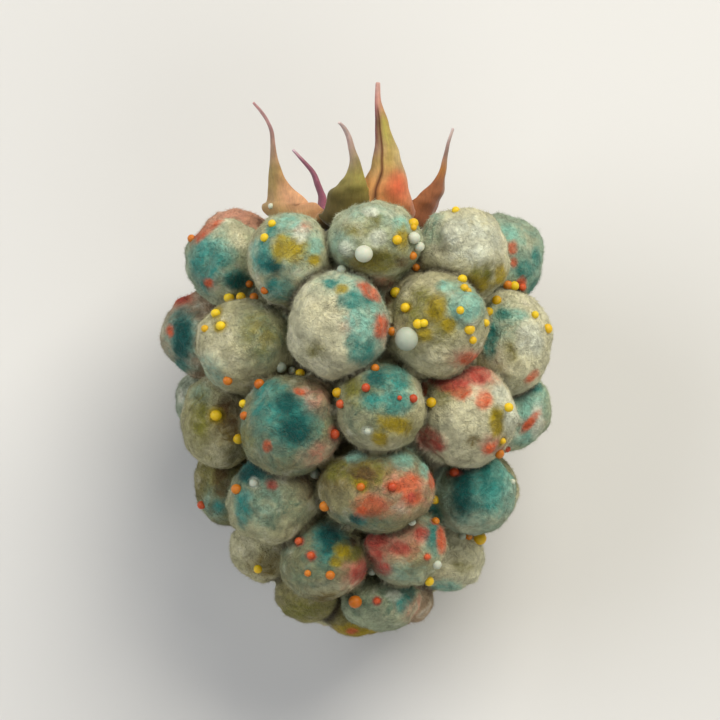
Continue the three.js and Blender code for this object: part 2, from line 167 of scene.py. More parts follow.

# Where the stains are on the front, as seen from there:
# across, height, half width, half height, and for a few a lean in degrees.
# Besides the skin's own stains, some entries paint light and shade: most brown stains and some
# umber, slate and moss washes are painted shade where a drupelet lies under or beside its neighbour,
# and some pale and cream stains are painted highlights and rim light.
STAINS = {
    # The first cream stain, high on the upper left drupelet, is a painted highlight
    "cream": [
        (-7.22, 22.73, 0.85, 0.79), (-8.18, 18.95, 0.85, 0.51), (-2.76, 23.18, 0.73, 0.68),
        (-7.62, 16.08, 1.13, 1.24), (-2.14, 17.32, 1.47, 2.03), (5.75, 22.51, 2.03, 1.47),
        (3.1, 19.91, 1.02, 0.62), (4.06, 15.79, 1.69, 0.51), (9.48, 16.19, 0.56, 1.47),
        (-8.24, 10.61, 0.68, 0.51), (-2.71, 10.44, 0.9, 0.56), (1.13, 10.89, 1.02, 0.39),
        (6.21, 12.24, 1.47, 1.47), (6.77, 6.49, 1.47, 0.45), (-6.71, 5.13, 0.51, 0.56),
        (4.29, 3.44, 0.9, 0.56), (2.14, 4.79, 0.56, 0.56), (-1.41, 2.76, 1.13, 0.39),
        (4.85, 2.76, 1.02, 0.45), (-2.14, 10.43, 1.13, 0.45, 20), (9.31, 16.64, 0.79, 1.35),
        (-8.69, 11.67, 0.51, 0.73, 20), (4.51, 16.07, 1.58, 0.9), (1.02, 23.97, 1.24, 0.51),
        (-0.45, 23.41, 0.56, 0.45), (-6.54, 5.19, 0.51, 0.62), (2.37, 1.18, 1.13, 0.39),
        (9.25, 22.62, 0.68, 0.68), (6.43, 19.91, 0.79, 0.51), (4.06, 15.74, 0.85, 0.45),
        (5.64, 4.74, 0.9, 0.85),
    ],
    "mist": [
        (-8.57, 21.15, 0.9, 1.69), (-3.6, 22.39, 1.1, 1.6), (-8.63, 14.95, 0.56, 0.79),
        (1.02, 17.99, 0.85, 2.03), (-0.85, 19.97, 1.13, 0.56), (0.6, 23.81, 1.0, 0.5),
        (-1.02, 22.11, 0.56, 0.79), (3.95, 23.18, 0.56, 0.9), (9.03, 21.83, 1.24, 2.03),
        (7.9, 17.6, 0.9, 0.9), (6.21, 18.84, 0.96, 1.07), (9.59, 12.81, 0.79, 1.35),
        (2.93, 10.1, 1.47, 0.68), (6.99, 8.41, 2.26, 1.92), (2.37, 3.67, 1.24, 0.51),
        (3.95, 5.92, 0.68, 1.13), (-8.12, 7.45, 0.68, 0.68), (-10.04, 16.75, 0.79, 1.69),
        (-9.03, 13.65, 0.45, 0.56), (10.15, 21.15, 0.45, 1.35), (-5.19, 11.11, 0.9, 0.79),
        (-5.53, 7.73, 0.79, 1.13), (-8.46, 14.83, 0.68, 0.68), (5.53, 6.6, 0.79, 0.45),
    ],
    "slate": [
        (-4.34, 11.68, 2.37, 2.14), (0.34, 13.26, 1.13, 1.47), (-6.09, 8.57, 1.13, 1.81),
        (-2.71, 4.57, 1.52, 1.47), (1.35, 1.86, 1.92, 1.02), (0.0, 6.49, 1.47, 0.51),
        (1.81, 5.92, 0.79, 0.68), (-0.45, 21.38, 0.79, 0.68), (-7.67, 8.01, 0.68, 1.13),
        (-2.26, 12.69, 0.79, 0.79), (0.68, 13.14, 1.13, 1.02), (-2.93, 4.23, 0.9, 0.79),
        (-5.19, 17.31, 1.13, 1.13), (1.41, 9.87, 1.47, 0.45), (-4.85, 6.6, 0.56, 0.51),
        (0.9, 1.75, 1.24, 0.56), (-5.53, 16.41, 0.79, 0.9), (-4.06, 7.39, 0.9, 0.79),
        (0.62, 13.31, 0.62, 0.56), (-3.1, 4.34, 0.51, 0.45), (0.62, 13.25, 0.79, 0.68),
    ],
    "moss": [
        (-5.53, 17.15, 0.9, 1.0), (0.85, 21.15, 1.35, 0.56), (6.66, 20.25, 1.81, 0.79),
        (3.6, 18.6, 1.3, 1.0), (8.57, 16.08, 0.5, 0.45), (-9.03, 12.47, 0.79, 1.58),
        (1.97, 11.85, 1.24, 0.51), (-0.34, 13.93, 0.68, 0.73), (4.85, 13.82, 0.68, 0.51),
        (-2.71, 1.69, 1.92, 0.9), (-8.24, 9.42, 0.79, 1.13), (-2.48, 16.08, 0.5, 0.42),
        (-0.45, 4.57, 0.79, 0.68), (8.01, 12.02, 0.56, 0.9), (-6.49, 11.11, 0.56, 0.56),
        (0.0, 13.82, 0.68, 0.51), (4.51, 17.31, 0.79, 0.79), (2.59, 4.57, 0.9, 0.68),
        (0.68, 23.41, 0.39, 0.39), (4.62, 13.59, 0.56, 0.45), (-0.23, 23.01, 0.62, 0.34),
        (5.81, 4.0, 0.45, 0.28), (3.16, 17.99, 1.24, 1.24),
    ],
    # Some umber washes are painted shade under overhanging drupelets, as the widest one across the top of the
    # low middle drupelet
    "umber": [
        (0.0, 9.25, 2.59, 0.79), (-5.42, 4.01, 0.8, 0.6), (0.45, 0.28, 1.69, 0.39),
        (-7.45, 11.68, 0.56, 1.02), (-1.69, 2.09, 0.79, 0.45), (0.34, 9.19, 1.24, 0.56),
        (6.43, 11.05, 0.28, 0.28), (2.82, 5.02, 0.45, 0.39), (0.68, 21.15, 1.35, 0.45),
    ],
    "salmon": [
        (1.18, 17.54, 0.51, 0.79), (1.02, 19.86, 0.68, 0.39), (-7.16, 23.81, 1.35, 0.45),
        (5.98, 14.95, 1.47, 0.79), (3.27, 1.69, 0.79, 0.56), (6.21, 15.74, 0.9, 0.39),
        (-2.48, 13.26, 0.56, 0.68), (2.26, 8.29, 1.47, 1.02), (9.65, 12.13, 0.62, 0.28),
        (7.62, 10.83, 0.56, 0.45), (-8.57, 19.91, 0.45, 0.28), (-10.1, 19.01, 0.62, 0.45),
        (-0.23, 3.67, 0.68, 0.68), (-0.45, 17.54, 0.45, 0.51), (-3.38, 23.07, 0.45, 0.28),
        (-2.48, 13.82, 0.73, 0.68, 30), (-2.14, 10.43, 0.9, 0.45, 20), (6.49, 14.72, 1.24, 0.51),
        (2.14, 5.47, 1.24, 0.9),
    ],
    "olive": [
        (-9.05, 12.24, 0.34, 0.96), (-1.37, 9.38, 0.56, 0.51), (0.59, 9.08, 0.79, 0.51),
        (-0.31, 4.69, 0.39, 0.45), (2.69, 18.57, 0.34, 0.28), (6.92, 20.45, 0.5, 0.35),
        (4.72, 13.85, 0.51, 0.39), (-0.41, 14.11, 0.34, 0.56), (1.1, 21.14, 0.79, 0.45),
        (0.95, 23.7, 0.28, 0.23), (3.5, 19.32, 0.45, 0.45), (-3.38, 1.47, 0.79, 0.34),
        (0.34, 9.08, 0.79, 0.45), (3.1, 18.33, 0.45, 0.34),
    ],
    # Painted shadow: most of these brown stains lie where a drupelet is shaded by its neighbour
    "brown": [
        (-7.33, 12.52, 0.62, 0.85), (-7.84, 8.83, 0.34, 0.79), (-0.46, 5.37, 0.34, 0.23),
        (-3.05, 8.46, 0.39, 0.68), (2.43, 21.15, 0.34, 0.28), (0.34, 9.19, 0.68, 0.34),
        (1.58, 19.12, 0.28, 0.28),
    ],
    "aqua": [
        (-8.29, 21.97, 0.73, 0.39), (-3.99, 23.41, 0.51, 0.34), (-3.69, 22.42, 0.62, 0.28),
        (-2.63, 22.06, 0.45, 0.39), (8.35, 22.73, 0.51, 0.39), (0.42, 18.19, 0.56, 0.45),
        (2.37, 14.72, 0.45, 0.45), (6.01, 18.8, 0.79, 0.85), (5.02, 19.78, 0.51, 0.28),
        (8.8, 18.19, 0.56, 0.28), (3.69, 9.45, 0.28, 0.51), (2.41, 9.91, 0.51, 0.39),
        (7.75, 9.35, 0.85, 0.79), (9.25, 11.17, 0.45, 0.45), (-6.56, 7.93, 0.39, 0.28),
        (2.31, 23.24, 0.35, 0.4), (-0.31, 10.28, 0.45, 0.34), (4.91, 2.76, 0.68, 0.45),
        (6.2, 18.72, 0.56, 0.68), (9.53, 13.25, 0.7, 0.6), (0.11, 18.89, 0.68, 0.56),
        (9.59, 13.48, 0.68, 0.79), (9.53, 13.08, 0.62, 0.73), (7.67, 8.52, 0.56, 0.79),
        (0.23, 18.1, 0.85, 1.69), (2.26, 13.48, 0.73, 0.68), (-5.7, 21.38, 0.45, 0.79),
    ],
    "teal": [
        (-8.74, 20.93, 0.68, 1.18), (-7.78, 21.38, 0.68, 0.51), (-4.97, 22.87, 0.28, 0.34),
        (-5.36, 21.97, 0.28, 0.51), (-4.59, 19.63, 0.75, 0.6), (-10.04, 17.06, 0.51, 1.07),
        (-10.18, 15.24, 0.39, 0.39), (-1.65, 19.93, 0.34, 0.23), (0.19, 19.02, 0.5, 0.2),
        (0.19, 15.92, 0.73, 0.45), (-0.34, 16.19, 0.28, 0.28), (9.33, 20.68, 0.51, 0.45),
        (9.93, 21.44, 0.23, 0.45), (9.79, 19.63, 0.39, 0.51), (7.45, 17.06, 0.28, 0.51),
        (7.29, 16.3, 0.28, 0.51), (8.05, 18.19, 0.34, 0.23), (9.93, 14.1, 0.35, 0.25),
        (1.69, 14.87, 0.9, 0.51), (1.81, 13.26, 0.56, 0.68), (-5.05, 13.89, 0.85, 0.51),
        (-3.78, 12.02, 1.07, 1.07), (-5.95, 9.51, 0.79, 0.62), (-6.63, 7.24, 0.34, 0.79),
        (-8.01, 7.33, 0.34, 0.28), (-1.75, 5.37, 0.73, 1.02), (6.99, 8.46, 1.2, 1.4),
        (3.99, 6.96, 0.51, 0.39), (4.15, 5.67, 0.34, 0.79), (2.48, 2.2, 0.38, 0.79, -25),
        (-0.01, 6.58, 0.34, 0.39), (-6.94, 20.19, 0.68, 0.45), (-5.19, 12.8, 0.79, 0.9),
        (0.73, 13.31, 0.5, 0.42), (-0.39, 18.95, 0.62, 0.39), (-0.45, 16.58, 0.34, 0.45),
        (0.34, 16.07, 0.51, 0.51), (1.8, 14.33, 0.85, 0.45), (2.31, 13.25, 0.51, 0.45),
        (-5.25, 21.26, 0.51, 0.56),
    ],
    "deep": [
        (-4.85, 20.91, 0.51, 0.34), (-6.94, 20.03, 0.56, 0.34), (-10.04, 16.87, 0.4, 1.0),
        (-3.61, 11.79, 0.8, 0.75), (-5.92, 9.59, 0.51, 0.39), (-1.75, 5.53, 0.45, 0.62),
        (5.71, 8.22, 0.51, 1.24), (0.87, 14.55, 0.45, 0.39), (-0.28, 6.6, 0.23, 0.28),
        (-6.2, 9.19, 0.68, 0.39), (-4.06, 13.14, 0.56, 0.56),
    ],
    "ochre": [
        (-4.0, 21.9, 0.75, 0.6), (-4.45, 22.39, 0.28, 0.34), (-2.56, 21.29, 0.34, 0.28),
        (-8.11, 12.53, 0.39, 0.34), (4.25, 18.5, 0.45, 0.55), (5.02, 17.6, 0.34, 0.34),
        (3.67, 17.06, 0.39, 0.34), (7.95, 20.38, 0.28, 0.45), (2.4, 22.5, 0.32, 0.6),
        (2.08, 11.93, 0.75, 0.36, -15), (1.1, 11.17, 0.34, 0.34), (7.75, 12.15, 0.34, 0.68),
        (0.07, 8.55, 0.34, 0.28), (-0.99, 4.84, 0.39, 0.39), (-1.37, 4.24, 0.28, 0.23),
        (0.0, 0.31, 1.35, 0.34), (-8.11, 18.31, 0.28, 0.34), (-7.88, 17.51, 0.34, 0.28),
        (-1.04, 19.63, 0.28, 0.23), (6.66, 23.35, 0.39, 0.23), (2.69, 18.56, 0.23, 0.23),
        (8.01, 11.02, 0.23, 0.23), (6.66, 19.85, 0.68, 0.39), (6.77, 19.97, 0.39, 0.28),
    ],
    # Painted light: the pale stains on the upper right drupelet are a painted highlight, and those along the
    # right-hand rims painted rim light
    "pale": [
        (10.49, 20.61, 0.23, 0.45), (9.93, 16.75, 0.34, 0.68), (0.42, 11.62, 0.25, 0.2),
        (1.95, 2.35, 0.34, 0.28), (8.57, 12.41, 0.39, 0.79), (7.9, 13.65, 0.34, 0.51),
        (-3.38, 22.68, 0.34, 0.34), (-0.79, 21.89, 0.4, 0.4), (0.99, 22.53, 0.36, 0.36),
        (-5.99, 8.69, 0.23, 0.23), (9.98, 12.24, 0.28, 0.79), (6.43, 22.5, 1.3, 1.0),
        (9.48, 16.86, 0.51, 0.79), (0.62, 23.97, 0.4, 0.22), (5.41, 22.84, 0.75, 0.6),
        (6.2, 22.05, 0.79, 0.56),
    ],
    "coral": [
        (-10.11, 19.18, 0.56, 0.39), (-8.6, 23.02, 0.9, 0.23, 42), (0.52, 19.48, 0.6, 0.3, -35),
        (1.21, 17.51, 0.34, 0.56), (6.23, 15.7, 0.56, 0.28), (9.67, 14.64, 0.39, 0.2, 40),
        (9.63, 12.15, 0.56, 0.2, 50), (3.59, 13.96, 0.17, 0.45), (-5.23, 10.76, 0.2, 0.28),
        (-3.38, 13.82, 0.25, 0.14, -20), (5.63, 13.82, 0.5, 0.35), (6.99, 13.37, 0.34, 0.45),
        (7.37, 10.64, 0.39, 0.28, 30), (2.79, 8.62, 0.5, 0.42, 20), (3.01, 7.86, 0.45, 0.34),
        (2.03, 8.47, 0.45, 0.28), (4.06, 8.86, 0.2, 0.5), (4.6, 5.53, 0.23, 0.73),
        (8.57, 21.94, 0.23, 0.34), (8.65, 21.14, 0.23, 0.28), (9.1, 19.86, 0.23, 0.34),
        (-10.72, 17.28, 0.17, 0.28), (-0.46, 0.31, 0.28, 0.17), (-8.57, 19.97, 0.23, 0.2),
        (3.81, 4.51, 0.17, 0.17), (4.22, 6.54, 0.23, 0.23), (-6.32, 24.37, 0.51, 0.23),
        (0.68, 7.39, 0.79, 0.51), (0.68, 7.39, 0.51, 0.34), (0.73, 7.39, 0.51, 0.34),
    ],
    "red": [
        (6.46, 14.8, 0.9, 0.45), (5.86, 14.57, 0.45, 0.39), (6.92, 15.17, 0.39, 0.34),
        (4.42, 14.5, 0.56, 0.25), (3.89, 11.09, 0.75, 0.55, -35), (4.42, 10.72, 0.34, 0.23, -30),
        (0.9, 5.53, 0.68, 0.56), (0.82, 4.63, 0.45, 0.51), (1.27, 3.86, 0.45, 0.34),
        (0.03, 3.63, 0.45, 0.56), (2.18, 4.99, 0.51, 0.28, -15), (3.46, 5.83, 0.34, 0.45),
        (5.33, 9.28, 0.39, 0.2), (-1.47, 11.47, 0.28, 0.34), (-3.45, 5.42, 0.23, 0.23),
        (-2.76, 4.58, 0.23, 0.23), (-5.01, 8.6, 0.28, 0.25), (0.97, 2.05, 0.2, 0.2),
        (2.93, 7.9, 0.2, 0.2), (-10.15, 19.07, 0.34, 0.23), (5.7, 14.85, 1.15, 0.42, -12),
        (5.02, 14.27, 0.62, 0.34),
    ],
}

# How much of a stain's strength is left where it is worn thinnest
THINNEST = {
    "cream": 0.35, "mist": 0.35, "slate": 0.35, "moss": 0.35, "umber": 0.35, "salmon": 0.35,
    "olive": 0.45, "brown": 0.5, "aqua": 0.5, "teal": 0.65, "deep": 0.95, "ochre": 0.85,
    "pale": 0.6, "coral": 0.7, "red": 0.7,
}
STAIN_SPREAD = 1.25  # how much further a stain wicks than its dense part
STAIN_DEPTH = 2.4  # how far a stain reaches away from the viewer, as a share of its size
BACK_STAINS = (6, 10)  # on each drupelet that the front view does not reach, fewest and most
BACK_STAIN_SIZE = (0.16, 0.48)  # as a share of the drupelet's radius
BACK_SHARES = (0.1, 0.1, 0.08, 0.1, 0.04, 0.05, 0.05, 0.03, 0.08, 0.14, 0.05, 0.06, 0.03, 0.05, 0.04)
BACK_FROM = 1.0  # how far behind the axis a drupelet's middle is when it gets the back's stains
BACK_OUTWARD = 0.8  # how strongly those stains gather on the outside
VOXEL = 0.198  # finest lump that the skin's mesh holds
BLEND = 0.05  # softness of the crease between two drupelets
WEB_GAP = 0.16  # skin nearer a ball than this is laid onto it
OPEN_GAP = (0.04, 0.2)  # off the balls, where the shade of an open gap starts and how wide it grows
GAP_SHADE = 0.8  # how dark the painted shade on the core is in an open gap, against a crease's bottom
LUMPS = ((2.2, 0.22), (1.0, 0.15), (0.55, 0.1))  # swells of the felt: spacing, height
CREASE_REACH = 0.85  # how far from a crease the painted crease shade reaches
LUMPS_LOST = 0.6  # share of the lumps' height that is lost at a crease


def place(bearing, distance, height):
    angle = math.radians(bearing)
    return Vector((distance * math.sin(angle), -distance * math.cos(angle), height))


rows = [row for ring in RINGS.values() for row in ring]
centres = [place(*row[:3]) for row in rows]
halves = [Vector((row[3], (row[3] + row[4]) / 2, row[4])) for row in rows]
owners = list(range(len(rows)))

upward = Vector((0, -math.cos(TILT), math.sin(TILT)))
lowest = min(c.dot(upward) - (h * upward).length for c, h in zip(centres, halves))
rest = Vector((-MIDDLE_X, -MIDDLE_Y, -lowest - REST_CUT))
LAID = Matrix.Scale(0.001, 4) @ Matrix.Translation(rest) @ Matrix.Rotation(TILT - math.pi / 2, 4, "X")
eye = Vector((0, -VIEW_DISTANCE, MIDDLE_HEIGHT))


def seen(tree, across, height):
    """Where the front view meets the skin at a place in the plane of the axis."""
    point, normal, _, _ = tree.ray_cast(eye, Vector((across, 0, height)) - eye)
    return point, normal


fruit = bmesh.new()
for centre, half in zip(centres, halves):
    ball = Matrix.Translation(centre) @ Matrix.Diagonal(half).to_4x4()
    bmesh.ops.create_icosphere(fruit, subdivisions=4, radius=1, matrix=ball)
skin_tree = BVHTree.FromBMesh(fruit)
for across, height, radius, sink in LOBES:
    point, normal = seen(skin_tree, across, height)
    centre = point - normal * radius * sink
    gaps = [((centre - c) * Vector((1 / h.x, 1 / h.y, 1 / h.z))).length for c, h in zip(centres, halves)]
    owners.append(gaps[: len(rows)].index(min(gaps[: len(rows)])))
    centres.append(centre)
    halves.append(Vector((radius, radius, radius)))
    bmesh.ops.create_icosphere(fruit, subdivisions=3, radius=radius, matrix=Matrix.Translation(centre))
profile = [fruit.verts.new((radius, 0, height)) for radius, height in CORE_PROFILE]
edges = [fruit.edges.new(pair) for pair in zip(profile, profile[1:])]
bmesh.ops.spin(fruit, geom=profile + edges, cent=(0, 0, 0), axis=(0, 0, 1), angle=math.tau, steps=48,
               use_merge=True)
bmesh.ops.remove_doubles(fruit, verts=fruit.verts, dist=1e-4)
bmesh.ops.recalc_face_normals(fruit, faces=fruit.faces)


def new_object(name, bm, world=LAID):
    """A mesh object from a bmesh that was shaped upright, laid down in its place."""
    if world:
        bmesh.ops.transform(bm, matrix=world, verts=bm.verts)
    mesh = bpy.data.meshes.new(name)
    bm.to_mesh(mesh)
    bm.free()
    made = bpy.data.objects.new(name, mesh)
    bpy.context.scene.collection.objects.link(made)
    return made


def applied(made):
    """Turns an object's modifiers into its mesh."""
    graph = bpy.context.evaluated_depsgraph_get()
    mesh = bpy.data.meshes.new_from_object(made.evaluated_get(graph))
    made.modifiers.clear()
    made.data = mesh


drupelets = new_object("drupelet_skin", fruit, None)
grown = drupelets.modifiers.new("grown together", "REMESH")
grown.mode = "VOXEL"
grown.voxel_size = VOXEL
applied(drupelets)

centre_of = np.array([tuple(c) for c in centres])
half_of = np.array([tuple(h) for h in halves])
owner_of = np.array(owners)


def distances(points):
    """Distance of each point from each drupelet and lobe, and the way out of it."""
    offset = (points[:, None, :] - centre_of[None]) / half_of[None]
    reach = np.linalg.norm(offset, axis=2)
    slope = offset / half_of[None]
    steep = np.linalg.norm(slope, axis=2)
    gap = (reach - 1) * reach / np.maximum(steep, 1e-6)
    return gap, slope / np.maximum(steep, 1e-6)[..., None]


def coordinates(mesh):
    flat = np.empty(len(mesh.vertices) * 3)
    mesh.vertices.foreach_get("co", flat)
    return flat.reshape(-1, 3)


def vertex_normals(mesh):
    flat = np.empty(len(mesh.vertices) * 3)
    mesh.vertices.foreach_get("normal", flat)
    return flat.reshape(-1, 3)


def in_parts(points, size=20000):
    return [points[i:i + size] for i in range(0, len(points), size)]


# Each point of the remeshed skin goes back onto the balls, with a soft crease between two of them
points = coordinates(drupelets.data)
for step in range(3):
    moved = []
    for part in in_parts(points):
        gap, out = distances(part)
        weight = np.exp(-np.clip(gap - gap.min(axis=1, keepdims=True), 0, 4) / BLEND)
        total = weight.sum(axis=1)
        blended = gap.min(axis=1) - BLEND * np.log(total)
        way = (out * weight[..., None]).sum(axis=1) / total[:, None]
        on_balls = (gap.min(axis=1) < WEB_GAP)[:, None]
        moved.append(np.where(on_balls, part - way * blended[:, None], part))
    points = np.concatenate(moved)

nearest = []
second = []
off_balls = []
for part in in_parts(points):
    gap, _ = distances(part)
    whose = owner_of[np.argmin(gap, axis=1)]
    nearest.append(whose)
    own = np.where(owner_of[None] == whose[:, None], 9.0, gap)
    second.append(own.min(axis=1))
    off_balls.append(gap.min(axis=1))
nearest = np.concatenate(nearest)
second = np.concatenate(second)
off_balls = np.concatenate(off_balls)
drupelets.data.vertices.foreach_set("co", points.ravel())
drupelets.data.update()
normals = vertex_normals(drupelets.data)

# How deep each point lies in a crease or an open gap, for the painted shade there, and the felt's lumps,
# which fade into the creases
nook = 1 - np.clip(second / CREASE_REACH, 0, 1)
nook = np.maximum(nook, GAP_SHADE * np.clip((off_balls - OPEN_GAP[0]) / OPEN_GAP[1], 0, 1))
swell = np.zeros(len(points))
for spacing, rise in LUMPS:
    for i, point in enumerate(points):
        place_in_noise = Vector(point) / spacing + Vector((7.3, 3.1, 5.7)) * float(nearest[i])
        swell[i] += rise * noise.noise(place_in_noise)
points += normals * (swell * (1 - LUMPS_LOST * nook))[:, None]
to_world = np.array(LAID.to_3x3()) * 1000
shift = np.array(LAID.translation) * 1000
laid_height = points @ to_world[2] + shift[2]
points += np.array(upward)[None] * np.maximum(-laid_height, 0)[:, None]
drupelets.data.vertices.foreach_set("co", points.ravel())
drupelets.data.update()
normals = vertex_normals(drupelets.data)

loose = bmesh.new()
loose.from_mesh(drupelets.data)
felt_tree = BVHTree.FromBMesh(loose)
loose.free()

# Stains: 0.5 is a stain's edge, 1 its middle
names = list(PIGMENTS)
WASHES = 6
fields = np.zeros((len(points), len(names)))
nearer = VIEW_DISTANCE / (VIEW_DISTANCE + points[:, 1])
seen_x = points[:, 0] * nearer
seen_h = MIDDLE_HEIGHT + (points[:, 2] - MIDDLE_HEIGHT) * nearer
to_eye = np.array(eye)[None] - points
to_eye /= np.linalg.norm(to_eye, axis=1)[:, None]
facing = (normals * to_eye).sum(axis=1)
for pigment, stains in STAINS.items():
    channel = names.index(pigment)
    for across, height, wide, tall, *lean in stains:
        hit, _ = seen(felt_tree, across, height)
        if hit is None:
            hit = Vector((across, 0, height))
        gap, _ = distances(np.array([tuple(hit)]))
        whose = owner_of[np.argmin(gap[0])]
        turn = math.radians(lean[0] if lean else 0)
        dx = seen_x - across
        dh = seen_h - height
        along = (dx * math.cos(turn) + dh * math.sin(turn)) / (wide * STAIN_SPREAD)
        aside = (dh * math.cos(turn) - dx * math.sin(turn)) / (tall * STAIN_SPREAD)
        deep = (points[:, 1] - hit.y) / (STAIN_DEPTH * max(wide, tall) * STAIN_SPREAD)
        strength = np.clip(1 - 0.5 * np.sqrt(along ** 2 + aside ** 2 + deep ** 2), 0, 1)
        strength *= np.clip((facing + 0.4) / 0.3, 0, 1) * (nearest == whose)
        fields[:, channel] = np.maximum(fields[:, channel], strength)

draw = np.random.default_rng(23)
for whose in range(len(rows)):
    if centres[whose].y < BACK_FROM:
        continue
    mine = np.nonzero(nearest == whose)[0]
    direction = (points[mine] - centre_of[whose]) / half_of[whose]
    direction /= np.linalg.norm(direction, axis=1)[:, None]
    outward = Vector((centres[whose].x, centres[whose].y, 0)).normalized()
    for stain in range(draw.integers(*BACK_STAINS)):
        middle = Vector(draw.normal(size=3)).normalized()
        middle = (middle + outward * BACK_OUTWARD).normalized()
        channel = draw.choice(len(names), p=BACK_SHARES)
        size = draw.uniform(*BACK_STAIN_SIZE) * (2 if channel < WASHES else 1)
        stretch = draw.uniform(0.7, 1.0)
        away = np.arccos(np.clip(direction @ np.array(middle), -1, 1)) / size
        leaning = 1 + (1 / stretch - 1) * np.abs(direction @ np.array(middle.orthogonal().normalized()))
        strength = np.clip(1 - 0.5 * away * leaning, 0, 1) * np.clip(0.5 - facing[mine] / 0.4, 0, 1)
        fields[mine, channel] = np.maximum(fields[mine, channel], strength)


def linear(hex_colour):
    """An sRGB hex colour as the linear RGBA that the shaders use."""
    values = [int(hex_colour[i:i + 2], 16) / 255 for i in (1, 3, 5)]
    return [v / 12.92 if v <= 0.04045 else ((v + 0.055) / 1.055) ** 2.4 for v in values] + [1.0]


ground = np.array([linear(GROUND_COLOURS[row[5]]) for row in rows])[nearest]
coverage = np.ones(len(points))
felt_data = {
    "ground": ground,
    # The felt attribute's red carries how deep a point lies in a crease, for the painted crease shade
    "felt": np.column_stack([nook, np.zeros(len(points)), np.zeros(len(points)), coverage]),
}
for first in range(0, len(names), 3):
    felt_data[f"stain_{first}"] = np.column_stack([fields[:, first:first + 3], coverage])


def store(mesh, data):
    for name, values in data.items():
        attribute = mesh.attributes.new(name, "FLOAT_COLOR", "POINT")
        attribute.data.foreach_set("color", values.astype(np.float32).ravel())


store(drupelets.data, felt_data)
skin_points = points.copy()
skin_triangles = []
for polygon in drupelets.data.polygons:
    corners = list(polygon.vertices)
    skin_triangles.extend((corners[0], corners[i], corners[i + 1]) for i in range(1, len(corners) - 1))
skin_triangles = np.array(skin_triangles)
drupelets.data.transform(LAID)
drupelets.data.shade_smooth()


def add_node(tree, kind, inputs=(), **settings):
    """Adds a node, sets its properties, and fills or links its inputs by name or number."""
    added = tree.nodes.new(kind)
    for name, value in settings.items():
        setattr(added, name, value)
    for socket, value in dict(inputs).items():
        if isinstance(value, bpy.types.NodeSocket):
            tree.links.new(value, added.inputs[socket])
        else:
            added.inputs[socket].default_value = value
    return added


def per_metre(millimetres):
    """A noise scale whose features are about this many millimetres apart."""
    return 1000 / millimetres


# Felted fruit skin: matt, with the soft sheen of short down. Stains have ragged, wicking edges. Painted shade
# darkens the creases and open gaps between drupelets.
downy = bpy.data.materials.new("downy_fruit_skin")
downy.use_nodes = True
tree = downy.node_tree
shader = tree.nodes["Principled BSDF"]
where = add_node(tree, "ShaderNodeTexCoord").outputs["Object"]
felt = add_node(tree, "ShaderNodeAttribute", attribute_name="felt")
felt_parts = add_node(tree, "ShaderNodeSeparateColor", {"Color": felt.outputs["Color"]})
tone = add_node(tree, "ShaderNodeAttribute", attribute_name="ground").outputs["Color"]
clouds = add_node(tree, "ShaderNodeTexNoise", {"Vector": where, "Scale": per_metre(1.5), "Detail": 5.0,
                                               "Roughness": 0.62})
threads = add_node(tree, "ShaderNodeTexNoise", {"Vector": where, "Scale": per_metre(0.16), "Detail": 3.0,
                                                "Roughness": 0.6, "Distortion": 1.2})
cloud_parts = add_node(tree, "ShaderNodeSeparateColor", {"Color": clouds.outputs["Color"]})


def ramp(value, low, high, to_low, to_high):
    return add_node(tree, "ShaderNodeMapRange", {"Value": value, "From Min": low, "From Max": high,
                                                 "To Min": to_low, "To Max": to_high},
                    interpolation_type="SMOOTHSTEP").outputs["Result"]


def blend_colour(factor, below, above, mode="MIX"):
    """Lays one colour over another. Inputs 6 and 7 are the two colours, and output 2 the result."""
    return add_node(tree, "ShaderNodeMix", {0: factor, 6: below, 7: above}, data_type="RGBA",
                    blend_type=mode).outputs[2]


colour = blend_colour(ramp(cloud_parts.outputs["Red"], 0.5, 0.72, 0, 0.55), tone, linear("#e6e1cc"))
colour = blend_colour(ramp(cloud_parts.outputs["Green"], 0.54, 0.74, 0, 0.5), colour, linear("#87835f"))
for first in range(0, len(names), 3):
    soft = 0.16 if first < WASHES else 0.05
    stain = add_node(tree, "ShaderNodeAttribute", attribute_name=f"stain_{first}")
    field = add_node(tree, "ShaderNodeSeparateColor", {"Color": stain.outputs["Color"]})
    moved = add_node(tree, "ShaderNodeMapping", {"Vector": where, "Location": (0.013 * first, 0.007, 0.021)})
    ragged = add_node(tree, "ShaderNodeTexNoise", {"Vector": moved.outputs["Vector"],
                                                   "Scale": per_metre(0.9), "Detail": 6.0,
                                                   "Roughness": 0.64, "Distortion": 0.6})
    ragged_parts = add_node(tree, "ShaderNodeSeparateColor", {"Color": ragged.outputs["Color"]})
    for part, pigment in zip(("Red", "Green", "Blue"), names[first:first + 3]):
        shifted = add_node(tree, "ShaderNodeMath", {0: ragged_parts.outputs[part], 1: 0.75, 2: -0.38},
                           operation="MULTIPLY_ADD").outputs["Value"]
        total = add_node(tree, "ShaderNodeMath", {0: field.outputs[part], 1: shifted},
                         operation="ADD").outputs["Value"]
        amount = ramp(total, 0.3 - soft, 0.68 + soft, 0, 0.96)
        worn = ramp(ragged_parts.outputs[{"Red": "Blue", "Green": "Red", "Blue": "Green"}[part]],
                    0.38, 0.62, THINNEST[pigment], 1.0)
        thinned = add_node(tree, "ShaderNodeMath", {0: amount, 1: worn}, operation="MULTIPLY")
        colour = blend_colour(thinned.outputs["Value"], colour, linear(PIGMENTS[pigment]))
thread_tone = ramp(threads.outputs["Fac"], 0.3, 0.7, 0.9, 1.06)
colour = blend_colour(1.0, colour, thread_tone, "MULTIPLY")
tufts = add_node(tree, "ShaderNodeTexNoise", {"Vector": where, "Scale": per_metre(0.75), "Detail": 4.0,
                                              "Roughness": 0.6, "Distortion": 0.8}).outputs["Fac"]
